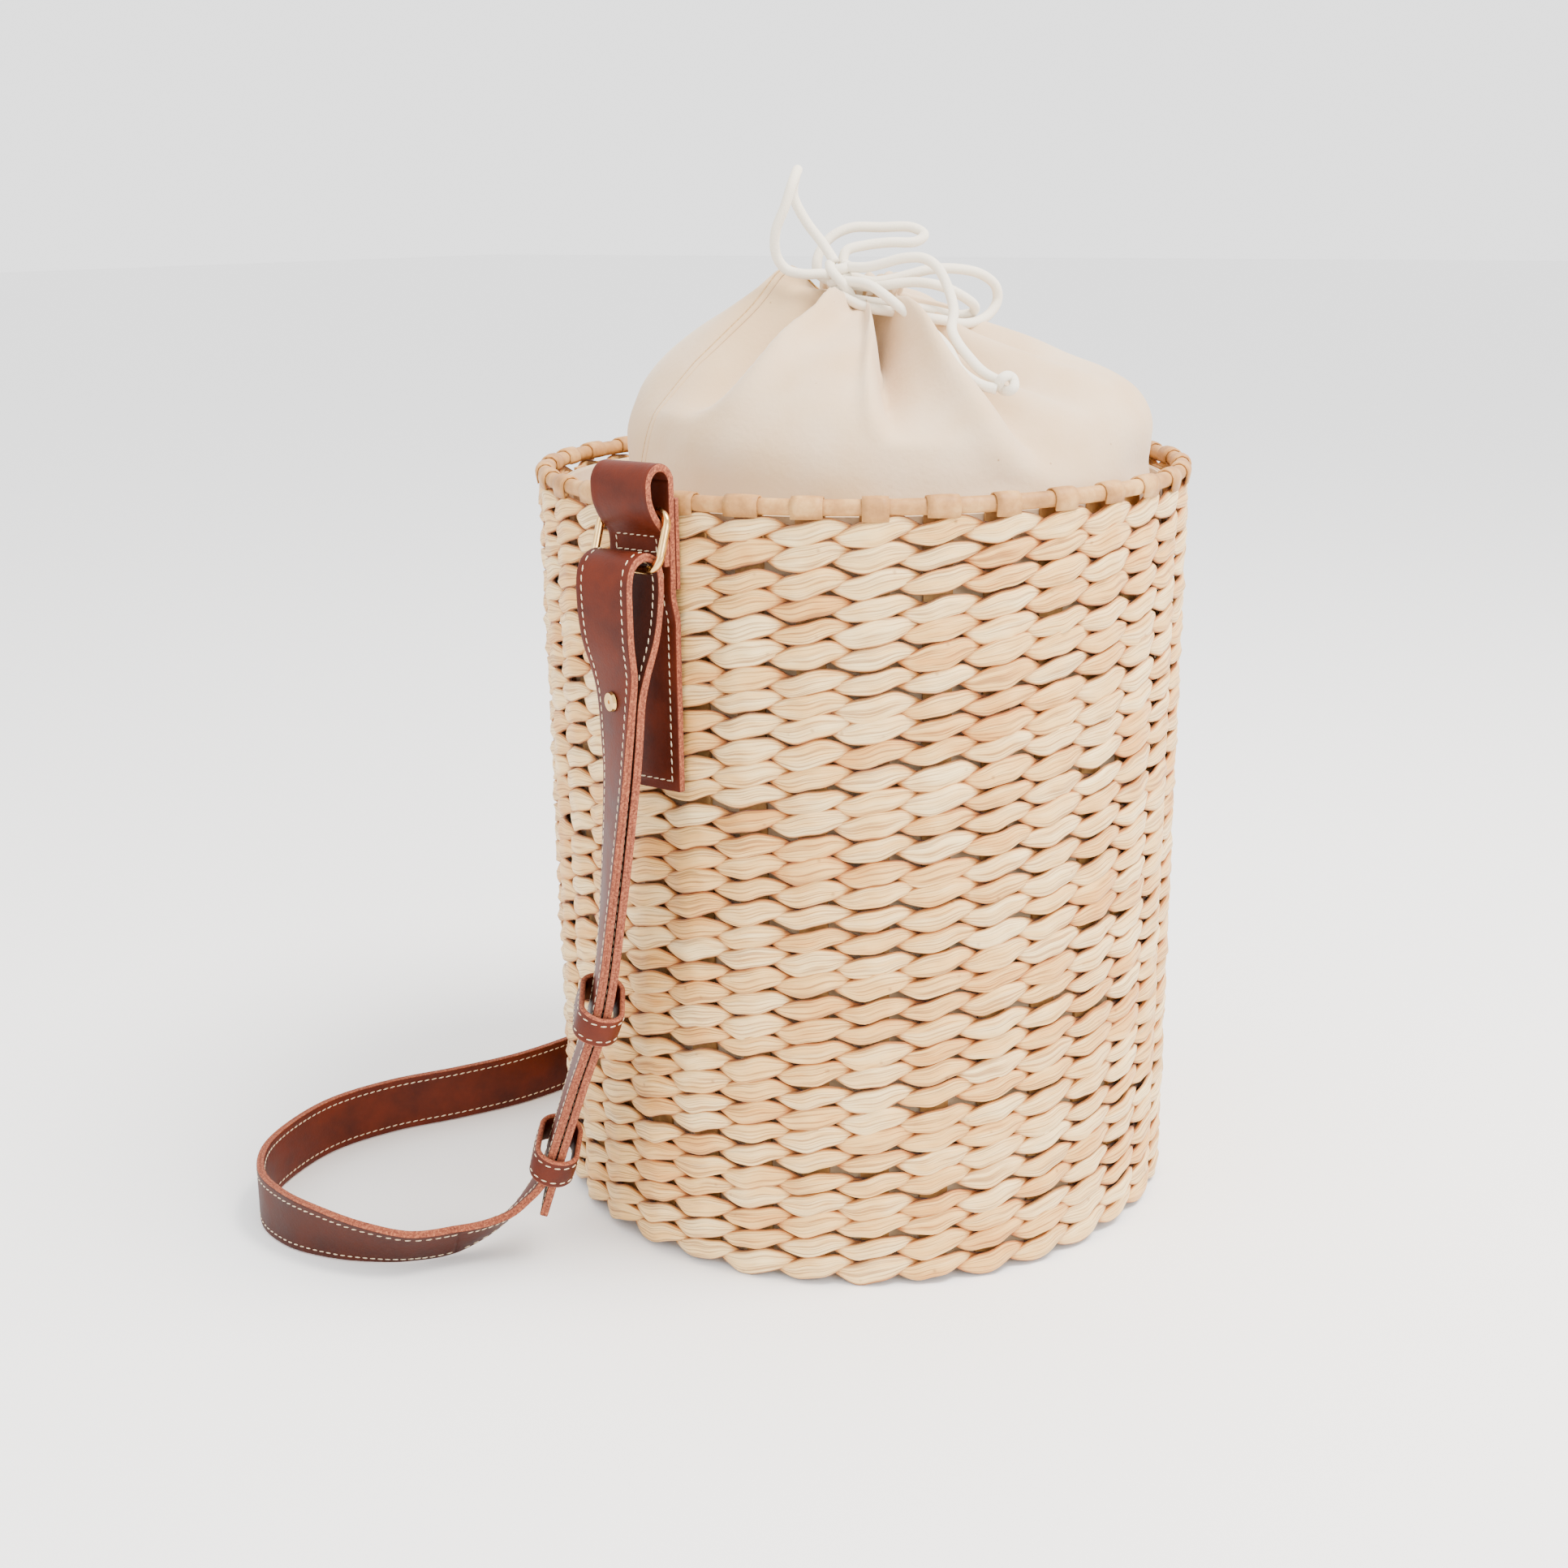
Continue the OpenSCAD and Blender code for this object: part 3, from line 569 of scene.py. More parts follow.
def strandMesh(name, spans, steps, sides, replaces, place):
    # spans: row, strand and height of each strand in the piece
    template, around, section = strandTemplate(basket["stakes"] * steps, sides)
    bm = bmesh.new()
    for _ in spans:
        bm.from_mesh(template)
    bpy.data.meshes.remove(template)
    mesh = bpy.data.meshes.new(name)
    bm.to_mesh(mesh)
    bm.free()
    count = len(around)
    co = np.zeros((count * len(spans), 3))
    tones = np.zeros(count * len(spans))
    shades = np.zeros(count * len(spans))
    for i, (row, strand, rowZ) in enumerate(spans):
        part = slice(i * count, (i + 1) * count)
        r, z, tones[part], shades[part] = strandShape(around, section, row, strand, rowZ)
        co[part] = place(around, r, z, rowZ)
    mesh.vertices.foreach_set("co", (co * mm).ravel())
    for label, values in (("lobeTone", tones), ("lobeShade", shades)):
        attribute = mesh.attributes.new(label, "FLOAT", "POINT")
        attribute.data.foreach_set("value", values)
    loopVerts = np.zeros(len(mesh.loops), dtype=np.int32)
    mesh.loops.foreach_get("vertex_index", loopVerts)
    # the UV map holds metres along and across a strand, each strand with its own offset
    strandOf = np.repeat(np.arange(len(spans)), count)[loopVerts].reshape(-1, 4)
    both = []
    for angles, radius, offset in ((around, 0.138, 1.37), (section, 0.0035, 0.61)):
        a = np.tile(angles, len(spans))[loopVerts].reshape(-1, 4)
        a += (a.max(1) - a.min(1) > math.pi)[:, None] * (a < math.pi) * turn
        both.append((a * radius + strandOf * offset).ravel())
    uv = mesh.uv_layers.new(name="UVMap")
    uv.data.foreach_set("uv", np.stack(both, 1).ravel())
    bm = bmesh.new()
    bm.from_mesh(mesh)
    finishPiece(name, bm, [wovenStraw], replaces=replaces)


def onWall(around, r, z, rowZ):
    outer = wallRadius(rowZ) - basket["halfThick"] - basket["swing"] - 0.4
    return np.stack([(outer + r) * np.cos(around), (outer + r) * np.sin(around),
                     np.maximum(z, 0.15)], 1)


pitch = (basket["wallHigh"] - 3.5) / basket["rows"]
rowList = [(row, strand, 2.6 + pitch * (row + 0.5)) for row in range(basket["rows"])
           for strand in (0, 1)]
perBand = math.ceil(len(rowList) / basket["bands"])
for band in range(basket["bands"]):
    part = rowList[band * perBand:(band + 1) * perBand]
    strandMesh(f"wovenWall{band + 1}", part, basket["steps"], basket["sides"],
               ["basket_wall"] if band == 0 else [], onWall)
print("wall woven:", basket["rows"], "rows")

# base: the same strands laid flat in rings
baseRings = {"first": 9.0, "pitch": 9.6, "count": 13, "high": 2.9}


def onBase(around, r, z, rowZ):
    radius = rowZ + (z - rowZ) * 0.8
    height = np.clip(baseRings["high"] - r * 0.62, 0.12, 5.5)
    return np.stack([radius * np.cos(around), radius * np.sin(around), height], 1)


strandMesh("wovenBase", [(row, strand, baseRings["first"] + baseRings["pitch"] * row)
                         for row in range(baseRings["count"]) for strand in (0, 1)],
           5, 8, ["basket_base"], onBase)

# rim wraps: stake ends folded over the rod, each cut and bent by hand
rim = {"rodRadius": 3.2, "rodHigh": 320.5, "ringRadius": 136.35, "wide": 12.0, "thick": 0.8}
bm = bmesh.new()
for i in range(basket["stakes"]):
    middle = (i + 0.5) * turn / basket["stakes"]
    wide = rim["wide"] * random.uniform(0.8, 1.12)
    tilt = random.uniform(-0.06, 0.06)
    down = random.uniform(-0.5, 0.9)
    rings = []
    for c in range(5):
        a = middle + (c / 4 - 0.5) * wide / rim["ringRadius"]
        radius = rim["rodRadius"] + 0.22 + 0.25 * math.sin(c / 4 * math.pi)
        outer, inner = [], []
        for k in range(13):
            bend = math.radians(-38 + k * 256 / 12) + tilt * (c - 2) / 2
            tuck = 1.6 + down if k == 0 else 0
            for side, r in ((outer, radius + rim["thick"]), (inner, radius)):
                x = rim["ringRadius"] + r * math.cos(bend)
                z = rim["rodHigh"] + r * math.sin(bend) - tuck
                side.append(Vector((x * math.cos(a), x * math.sin(a), z)) * mm)
        rings.append(outer + inner[::-1])
    sweep(bm, rings, uvStep=([k * wide / 4 * mm for k in range(5)],
                             [k * 1.1 * mm for k in range(27)]))
finishPiece("rimWraps", bm, [flatStraw], replaces=["rim_wraps"])
paintNodes(flatStraw, "stakes", "rim_rod")
paintNodes(cottonCanvas, "lining_floor", "lining_side")
print("base and rim made")


# gathered canvas collar

collar = {
    "shift": 11.0, "edgeRadius": 127.524, "wall": 317.0, "rise": 72.5, "neck": 15.0,
    "around": 288, "steps": 4,
    "seam": 206,          # degrees, where the side seam runs up
}
# valleys from the neck: headings at neck and foot, width in degrees, depth in mm, reach, lean
pleats = [
    (-76, -52, 12, 20.0, 0.62, 0.6), (-97, -88, 6.5, 21.0, 0.5, 0.7),
    (-118, -140, 10, 30.0, 0.46, -0.5), (-147, -150, 8, 8.0, 0.36, 0.3),
    (-58, -38, 8, 11.0, 0.45, 0.3), (-34, -22, 9, 9.0, 0.4, -0.3), (2, 10, 12, 11.0, 0.55, 0.3),
    (32, 36, 10, 10.0, 0.45, 0.1), (62, 70, 12, 12.0, 0.6, -0.3), (98, 104, 11, 11.0, 0.5, 0.2),
    (132, 140, 13, 12.0, 0.55, 0.2), (168, 162, 12, 11.0, 0.5, -0.2),
]
# puffs between them: across and away of the middle, spread and height, in mm
puffs = [(-28, -22, 7.5, 9.0), (-15, -42, 7, 4.0), (20, -52, 14, 3.5), (-30, -70, 20, 4.0),
         (30, 20, 20, 5.0), (-12, 34, 18, 5.0)]
edge, wallTop, rise, neck = (collar[k] for k in ("edgeRadius", "wall", "rise", "neck"))
domeRows = [              # radius, height, share of the sideways shift, tip
    (edge, wallTop - 1, 0, 0), (edge - 0.4, wallTop - 7, 0, 0), (edge - 2.6, wallTop - 12, 0.1, 0),
    (edge - 7, wallTop - 13.5, 0.4, 0), (edge - 11.6, wallTop - 11, 0.8, 0),
    (edge - 14.1, wallTop - 4, 1, 0), (edge - 15.1, wallTop + rise * 0.07, 1, 0),
    (edge - 15.6, wallTop + rise * 0.19, 1, 0), (edge - 18, wallTop + rise * 0.33, 1, 0),
    (edge - 24.5, wallTop + rise * 0.47, 1, 1), (edge - 36.5, wallTop + rise * 0.6, 1, 3),
    (edge - 53.5, wallTop + rise * 0.717, 1, 6), (neck + 43, wallTop + rise * 0.814, 1, 7),
    (neck + 27, wallTop + rise * 0.897, 0.8, 6.5), (neck + 15, wallTop + rise * 0.952, 0.6, 4.5),
    (neck + 6, wallTop + rise * 0.986, 0.3, 3), (neck + 0.5, wallTop + rise, 0, 0.5),
    (neck + 0.2, wallTop + rise + 2.5, 0, 0), (neck + 2.2, wallTop + rise + 6, 0, 0),
    (neck + 1.5, wallTop + rise + 9.6, 0, 0), (neck - 2.0, wallTop + rise + 9.2, 0, 0),
    (neck - 5.2, wallTop + rise + 5.0, 0, 0),
]
rowsFine = smoothLine(domeRows, collar["steps"])
neckRow = 16 * collar["steps"]


def pleatDepth(angle, s, radius):
    # how deep the cloth is folded in at this heading; s is 0 at the sewn edge and 1 at the neck
    total = 0.0
    for atNeck, atFoot, width, depth, reach, leanBy in pleats:
        grow = min(max((s - (1 - reach)) / reach, 0.0), 1.0)
        if grow <= 0:
            continue
        middle = atFoot + (atNeck - atFoot) * grow ** 0.8
        d = ((angle - middle + 180) % 360 - 180) / (width * (1.5 - 0.55 * grow))
        d /= 1 + leanBy if d > 0 else 1 - leanBy
        valley = math.exp(-abs(d) ** 1.45 * 1.7)
        shoulder = 0.34 * math.exp(-(abs(d) - 1.5) ** 2 * 2.0)
        total += depth * (valley - shoulder) * math.sin(min(grow * 1.7, 1.0) * math.pi / 2)
    gathers = max((s - 0.72) / 0.28, 0) * 1.5 * math.sin(math.radians(angle) * 19 + 2 * s)
    near = 1 - 0.6 * min(max((s - 0.86) / 0.12, 0), 1)
    return total * near * min(1.0, (radius / 42) ** 0.7) + gathers


rings = []
profileLengths = [0.0]
for r, (radius, height, share, tip) in enumerate(rowsFine):
    before, later = rowsFine[max(r - 1, 0)], rowsFine[min(r + 1, len(rowsFine) - 1)]
    slope = Vector((later[1] - before[1], before[0] - later[0])).normalized()
    s = min(r / neckRow, 1.0)
    free = min(max((s - 0.22) / 0.25, 0), 1)
    after = max(r - neckRow, 0) / max(len(rowsFine) - 1 - neckRow, 1)
    ring = []
    for k in range(collar["around"]):
        a = 360 * k / collar["around"]
        ar = math.radians(a)
        depth = pleatDepth(a, s, radius) * (1 - after)
        wide = noise.noise(Vector((math.cos(ar) * 1.1 + 7, math.sin(ar) * 1.1, s * 1.7)))
        fine = noise.noise(Vector((math.cos(ar) * 3.4, math.sin(ar) * 3.4, s * 5.5)))
        push = ((3.4 * wide + 2.6 * fine) * free - depth * free) * (1 - after)
        x = (radius + push * slope.x) * math.cos(ar) + collar["shift"] * share
        y = (radius + push * slope.x) * math.sin(ar)
        ruffle = 1.6 * math.sin(ar * 11 + 0.6 * math.sin(ar * 3)) * min(after * 3, 1)
        lift = sum(high * math.exp(-((x - px) ** 2 + (y - py) ** 2) / (2 * wideBy ** 2))
                   for px, py, wideBy, high in puffs) if s > 0.5 and after == 0 else 0
        z = height - tip * math.cos(ar) + push * slope.y + lift * min((s - 0.5) * 6, 1) + ruffle
        ring.append(Vector((x, y, z)) * mm)
    rings.append([bowTurn @ p for p in ring])
for a, b in zip(rowsFine, rowsFine[1:]):
    profileLengths.append(profileLengths[-1] + math.hypot(b[0] - a[0], b[1] - a[1]) * mm)
aroundLengths = [k / collar["around"] * turn * 0.105 for k in range(collar["around"] + 1)]
bm = bmesh.new()
sweep(bm, rings, caps=False, uvStep=(profileLengths, aroundLengths))
sheetArea = sum(f.calc_area() for f in bm.faces)
collarPiece = finishPiece("gatheredCollar", bm, [cottonCanvas],
                          replaces=["collar", "collar_casing"])
solidify = collarPiece.modifiers.new("clothThickness", "SOLIDIFY")
solidify.thickness = 0.9 * mm
solidify.offset = -1
print("collar gathered, area", round(sheetArea, 4), "m2")

# side seam: a folded ridge with a row of tan stitches
seamRows = range(5 * collar["steps"], neckRow - 2)
k = round(collar["seam"] / 360 * collar["around"])
seamLine = [rings[i][k] for i in seamRows]


def surfaceNormal(i):
    n = collar["around"]
    du = rings[i][(k + 1) % n] - rings[i][(k - 1) % n]
    normal = du.cross(rings[i + 1][k] - rings[i - 1][k]).normalized()
    outward = rings[i][k] - Vector((0, 0, 0.34))
    return normal if normal.dot(outward) > 0 else -normal


seam = {"halfWide": 1.6, "high": 0.5, "threadOff": 1.5, "threadThick": 0.76}
ridge = ((-1, -0.2), (-0.7, 0.8), (0, 1), (0.7, 0.8), (1, -0.2), (0, -0.6))
normals = [surfaceNormal(i) for i in seamRows]
seamRings = []
for i, (p, up) in enumerate(zip(seamLine, normals)):
    heading = (seamLine[min(i + 1, len(seamLine) - 1)] - seamLine[max(i - 1, 0)]).normalized()
    side = heading.cross(up).normalized()
    seamRings.append([p + side * seam["halfWide"] * mm * x + up * seam["high"] * mm * z
                      for x, z in ridge])
bm = bmesh.new()
sweep(bm, seamRings, uvStep=(alongLengths(seamLine), [j * 0.8 * mm for j in range(7)]))
seamPiece = finishPiece("collarSeam", bm, [cottonCanvas])
bm = bmesh.new()
threadLine = [p + seam["threadOff"] * mm * n.cross(Vector((0, 0, 1))).normalized()
              + 0.2 * mm * n for p, n in zip(seamLine, normals)]
sweptTube(bm, threadLine, seam["threadThick"] / 2 * mm, 6)
seamThread = finishPiece("collarSeamThread", bm, [tanThread])
print("seam made")


# leather: shared section and stitching

stitch = {"pitch": 3.5, "long": 2.7, "thick": 0.62, "sunk": 0.05, "slant": 7, "start": 2.0}


def leatherSection(wide, thick, plies):
    # points round a strip, across and deep, with worn corners and a groove between two plies
    w, t, corner = wide / 2, thick / 2, 0.55
    side = [(w - corner * 1.6, t), (w - corner * 0.55, t - corner * 0.25),
            (w - corner * 0.12, t - corner * 0.8)]
    side += [(w, 0.22), (w - 0.3, 0.0), (w, -0.22)] if plies == 2 else [(w, 0.0)]
    side += [(w - corner * 0.12, -t + corner * 0.8), (w - corner * 0.55, -t + corner * 0.25),
             (w - corner * 1.6, -t)]
    sunk = stitch["sunk"] * 2
    lower = [(w - 2.0, -t), (w - 3.0, -t + sunk), (w - 4.0, -t), (0.0, -t)]
    lower = lower + [(-x, y) for x, y in reversed(lower[:-1])]
    upper = [(-x, -y) for x, y in lower]
    points = side + lower + [(-x, -y) for x, y in side] + upper
    # materials: 0 on the upper broad side, 1 on the cut edges, 2 on the lower broad side
    kinds = [(2 if a[1] + b[1] < 0 else 0)
             if abs(a[1] - b[1]) < 0.3 and abs(a[1]) > t - 0.35 else 1
             for a, b in zip(points, points[1:] + points[:1])]
    return points, kinds


def stripFrames(line):
    # place, heading, outward and width directions at each station of a strip
    p = [Vector(q[:3]) for q in line]
    n = len(p)
    frames = []
    for i in range(n):
        heading = (p[min(i + 1, n - 1)] - p[max(i - 1, 0)]).normalized()
        out = heading.cross(Vector(line[i][3:6])).normalized()
        frames.append((p[i], heading, out, out.cross(heading)))
    return frames


def stripPiece(name, frames, size, body, replaces, materials, plies=2):
    points, kinds = leatherSection(size["wide"], size["thick"], plies)
    rings = [[(p + across * w + depth * o) * mm for across, depth in points]
             for p, h, o, w in frames]
    bm = bmesh.new()
    sweep(bm, rings, uvStep=(alongLengths([f[0] * mm for f in frames]),
                             alongLengths([Vector((*p, 0)) * mm for p in points], closed=True)),
          edgeKinds=kinds)
    for face in bm.faces:
        if len(face.verts) > 4:
            face.material_index = 1
    return finishPiece(name, bm, materials, body=body, replaces=replaces)


def addStitch(bm, place, heading, out):
    slant = math.radians(stitch["slant"])
    angled = heading * math.cos(slant) + out.cross(heading) * math.sin(slant)
    angled.normalize()
    m = Matrix((angled, out.cross(angled).normalized(), out)).transposed().to_4x4()
    m.translation = place * mm
    half = [stitch[k] / 2 * mm for k in ("long", "thick", "thick")]
    bmesh.ops.create_uvsphere(bm, u_segments=6, v_segments=4, radius=1,
                              matrix=m @ Matrix.Diagonal((*half, 1))
                              @ Matrix.Rotation(math.pi / 2, 4, "Y"))


def stitchRows(name, frames, rows, body):
    # rows: across, depth, and sign of the side they show on
    lengths = alongLengths([f[0] for f in frames])
    bm = bmesh.new()
    at = stitch["start"]
    i = 0
    while at < lengths[-1] - stitch["start"]:
        while i < len(lengths) - 2 and lengths[i + 1] < at:
            i += 1
        t = (at - lengths[i]) / max(lengths[i + 1] - lengths[i], 1e-6)
        p, h, o, w = (frames[i][k].lerp(frames[i + 1][k], t) for k in range(4))
        for across, depth, sign in rows:
            addStitch(bm, p + across * w.normalized() + depth * o.normalized(),
                      h.normalized(), o.normalized() * sign)
        at += stitch["pitch"]
    return finishPiece(name, bm, [waxedThread], body=body)


# shoulder strap

strapSize = {"wide": 26.0, "thick": 3.4, "steps": 8, "stitchIn": 3.0, "loop": 9.0,
             "strandGap": 0.35}
barPlace = Vector(joints["strap_b_swing"]["pos_m"]) / mm
legX = barPlace.x + 3.0
legTop = barPlace.z - 3.6
strandHalf = strapSize["thick"] / 2 + strapSize["strandGap"]
rivetHigh = legTop - 47
legRows = [               # middle of a hanging leg: place, turn, half distance of its strands
    (legX, 0, legTop, 0, 9.0), (legX + 0.3, 0, legTop - 12, 1, 8.6),
    (legX + 0.7, 0, legTop - 24, 5, 6.6), (legX + 1.1, 0, legTop - 36, 12, 3.2),
    (legX + 1.5, 0, rivetHigh, 20, strandHalf), (legX + 2, 0, rivetHigh - 17, 27, strandHalf),
    (legX + 2.5, 1, 210, 33, strandHalf), (legX + 3.5, 6, 165, 41, strandHalf),
    (legX + 4.5, 13, 122, 46, strandHalf), (legX + 4.5, 27.5, 85, 48, strandHalf),
    (legX + 4.5, 42, 48, 50, strandHalf), (legX + 4.5, 45.2, 40, 50, strandHalf),
    (legX + 4.5, 51.5, 24, 50, strandHalf),
]
bendRows = [(168.2, 52.2, 29.9, 0.73, -0.65, 0.21), (174.9, 58.9, 19.4, 0.66, -0.63, 0.41),
            (184.6, 65.6, 13.3, 0.56, -0.58, 0.59)]
groundRows = [            # strap on its edge on the ground: place and lean
    (-196, 72, 43), (-211, 82, 41), (-221, 98, 29), (-227, 119, 14), (-228, 142, 3),
    (-221, 165, 0), (-203, 184, 0), (-178, 195, 0), (-150, 199, 0), (-120, 192, 0),
    (-90, 177, 0), (-60, 165, 0), (-25, 159, 0), (10, 157, 0), (50, 158, 0), (90, 158, 0),
    (130, 154, 0), (166, 142, 0), (192, 124, 4), (205, 102, 16), (203, 83, 32), (190, 72, 42),
]


def onLeg(row, out, up=0.0):
    # a point of the leg and the direction across it there
    c, s = math.cos(math.radians(row[3])), math.sin(math.radians(row[3]))
    return [row[0] + out * c, row[1] + out * s, row[2] + up, s, -c, 0]


def legRoute(tail):
    # up the outer strand, round the ring's bar and down the inner one
    loop = strapSize["loop"]
    return ([onLeg(row, row[4]) for row in legRows[-2::-1]]
            + [onLeg(legRows[0], loop * math.cos(math.radians(a)),
                     loop * math.sin(math.radians(a))) for a in (45, 90, 135)]
            + [onLeg(row, -row[4]) for row in legRows[:tail + 1]])


def mirroredX(rows):
    return [[-q[0], q[1], q[2], -q[3], q[4], q[5]] for q in rows]


def groundRoute():
    rows = []
    for i, (x, y, leanBy) in enumerate(groundRows):
        a = groundRows[max(i - 1, 0)]
        b = groundRows[min(i + 1, len(groundRows) - 1)]
        h = Vector((b[0] - a[0], b[1] - a[1])).normalized()
        up, over = math.cos(math.radians(leanBy)), math.sin(math.radians(leanBy))
        rows.append([x, y, strapSize["wide"] / 2 * up + strapSize["thick"] / 2 * over + 0.3,
                     -h.y * over, h.x * over, up])
    return rows


routes = [("strapLegA", mirroredX(legRoute(len(legRows) - 1))[::-1], "strap_a"),
          ("strapBendA", mirroredX(bendRows), None), ("strapRun", groundRoute(), rootBody),
          ("strapBendB", [list(q) for q in bendRows[::-1]], None),
          ("strapLegB", legRoute(5), "strap_b")]
strapLine = smoothLine([q for _, rows, _ in routes for q in rows], strapSize["steps"])
strapFrames = stripFrames(strapLine)
halfWide = strapSize["wide"] / 2 - strapSize["stitchIn"]
halfThick = strapSize["thick"] / 2
fourRows = [(a * halfWide, s * (halfThick - stitch["sunk"]), s) for a in (-1, 1)
            for s in (-1, 1)]
low = spans = 0
for name, rows, body in routes:
    spans += len(rows) + (1 if body is None else -1)      # a bend reaches both its neighbours
    high = spans * strapSize["steps"]
    frames = strapFrames[low:high + 1]
    low = high
    piece = stripPiece(name, frames, strapSize, body,
                       [nodeName(name) + "_face", nodeName(name) + "_lining"],
                       [strapLeather, rawEdge, liningLeather])
    threads = stitchRows(name + "Stitches", frames, fourRows, body)
    if body is None:
        for soft in (piece, threads):
            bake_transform(soft)
print("strap made, length", round(alongLengths([f[0] for f in strapFrames])[-1]), "mm")


# keepers: stitched bands round both strands, worn at the rims

keeperSize = {"high": 13.0, "thick": 2.2, "long": 29.2, "play": 3.4, "stitchIn": 2.6,
              "sides": 64}


def keeperPiece(name, row, down):
    below = Vector(legRows[10][:3]) - Vector(legRows[8][:3])
    tip = math.atan2(below.y, -below.z)
    deep = 2 * strandHalf + strapSize["thick"] + 2 * keeperSize["play"]
    turnBy = math.atan2(math.sin(math.radians(row[3])),
                        math.cos(math.radians(row[3])) * math.cos(tip))
    place = (Matrix.Diagonal((-1, 1, 1, 1)) @ Matrix.Translation(Vector(row[:3]))
             @ Matrix.Rotation(tip, 4, "X") @ Matrix.Rotation(turnBy, 4, "Z")
             @ Matrix.Translation((0, 0, -down)))
    t = keeperSize["thick"]
    radius = deep / 2 + t / 2
    straight = (keeperSize["long"] - deep) / 2
    outline = []
    for k in range(keeperSize["sides"]):
        c, s = math.cos(turn * k / keeperSize["sides"]), math.sin(turn * k / keeperSize["sides"])
        outline.append((radius * c, radius * s + (straight if s > 0 else -straight), c, s))
    h = keeperSize["high"] / 2
    section = [(h - 0.7, t / 2), (h - 0.15, t / 2 - 0.3), (h, 0), (h - 0.15, -t / 2 + 0.3),
               (h - 0.7, -t / 2), (0, -t / 2), (-h + 0.7, -t / 2), (-h + 0.15, -t / 2 + 0.3),
               (-h, 0), (-h + 0.15, t / 2 - 0.3), (-h + 0.7, t / 2), (-h + 1.8, t / 2),
               (-h + 2.6, t / 2 - 0.12), (-h + 3.4, t / 2), (0, t / 2 + 0.1),
               (h - 3.4, t / 2), (h - 2.6, t / 2 - 0.12), (h - 1.8, t / 2)]
    rings = [[(place @ Vector((x + nx * d, y + ny * d, z))) * mm for z, d in section]
             for x, y, nx, ny in outline]
    kinds = [1 if i in (0, 1, 2, 3, 6, 7, 8, 9) else 0 for i in range(len(section))]
    bm = bmesh.new()
    around = alongLengths([Vector(o[:2]).to_3d() * mm for o in outline], closed=True)
    sweep(bm, rings, closedPath=True, uvStep=(around, [i * mm for i in range(19)]),
          edgeKinds=kinds)
    finishPiece(name, bm, [strapLeather, rawEdge], body=nodeName(name),
                replaces=[nodeName(name)])
    bm = bmesh.new()
    total = around[-1] / mm
    count = round(total / stitch["pitch"])
    for i in range(count):
        at = total * i / count
        k = max(j for j in range(len(outline)) if around[j] / mm <= at + 1e-6)
        t0 = (at * mm - around[k]) / (around[k + 1] - around[k])
        a, b = outline[k], outline[(k + 1) % len(outline)]
        x, y, nx, ny = (a[j] + (b[j] - a[j]) * t0 for j in range(4))
        for z in (-h + keeperSize["stitchIn"], h - keeperSize["stitchIn"]):
            p = place @ Vector((x + nx * t / 2, y + ny * t / 2, z))
            out = (place.to_3x3() @ Vector((nx, ny, 0))).normalized()
            along = (place.to_3x3() @ Vector((-ny, nx, 0))).normalized()
            addStitch(bm, p, along, out)
    finishPiece(name + "Stitches", bm, [waxedThread], body=nodeName(name))


keeperPiece("keeperUpper", legRows[8], 5)
keeperPiece("keeperLower", legRows[10], 0)
print("keepers made")


# tabs with their doubled loop, and the patches under them

tabSize = {"wide": 28.0, "thick": 3.2, "loop": 6.6, "patch": 2.4, "patchHigh": 35.0,
           "drop": 110.0, "rows": (309.0, 303.0), "foot": 212.0, "stitchIn": 4.0}
rimTop = 324.6
stripLow = basket["rimRadius"] + 0.8 + tabSize["thick"] / 2
stripHigh = basket["rimRadius"] + 0.6 + tabSize["patch"] + tabSize["thick"] / 2
patchLow = basket["wallHigh"] - 29
loopX = stripHigh + tabSize["loop"]
loopZ = rimTop + 4
flapX = stripHigh + tabSize["thick"] + 0.2
stripPart = [(stripLow, rimTop - 6.6 - tabSize["drop"]), (stripLow, patchLow - 48),
             (stripLow, patchLow - 20), (stripLow, patchLow - 12), (stripHigh, patchLow - 3),
             (stripHigh, patchLow + 5), (stripHigh, patchLow + 22)]
loopPart = [(loopX + tabSize["loop"] * math.cos(math.radians(a)),
             loopZ + tabSize["loop"] * math.sin(math.radians(a))) for a in range(180, -1, -20)]
flapPart = [(loopX + tabSize["loop"] - 0.6, loopZ - 6), (loopX + 3, loopZ - 12),
            (flapX + 1.4, loopZ - 17.5), (flapX, loopZ - 22), (flapX, loopZ - 31)]


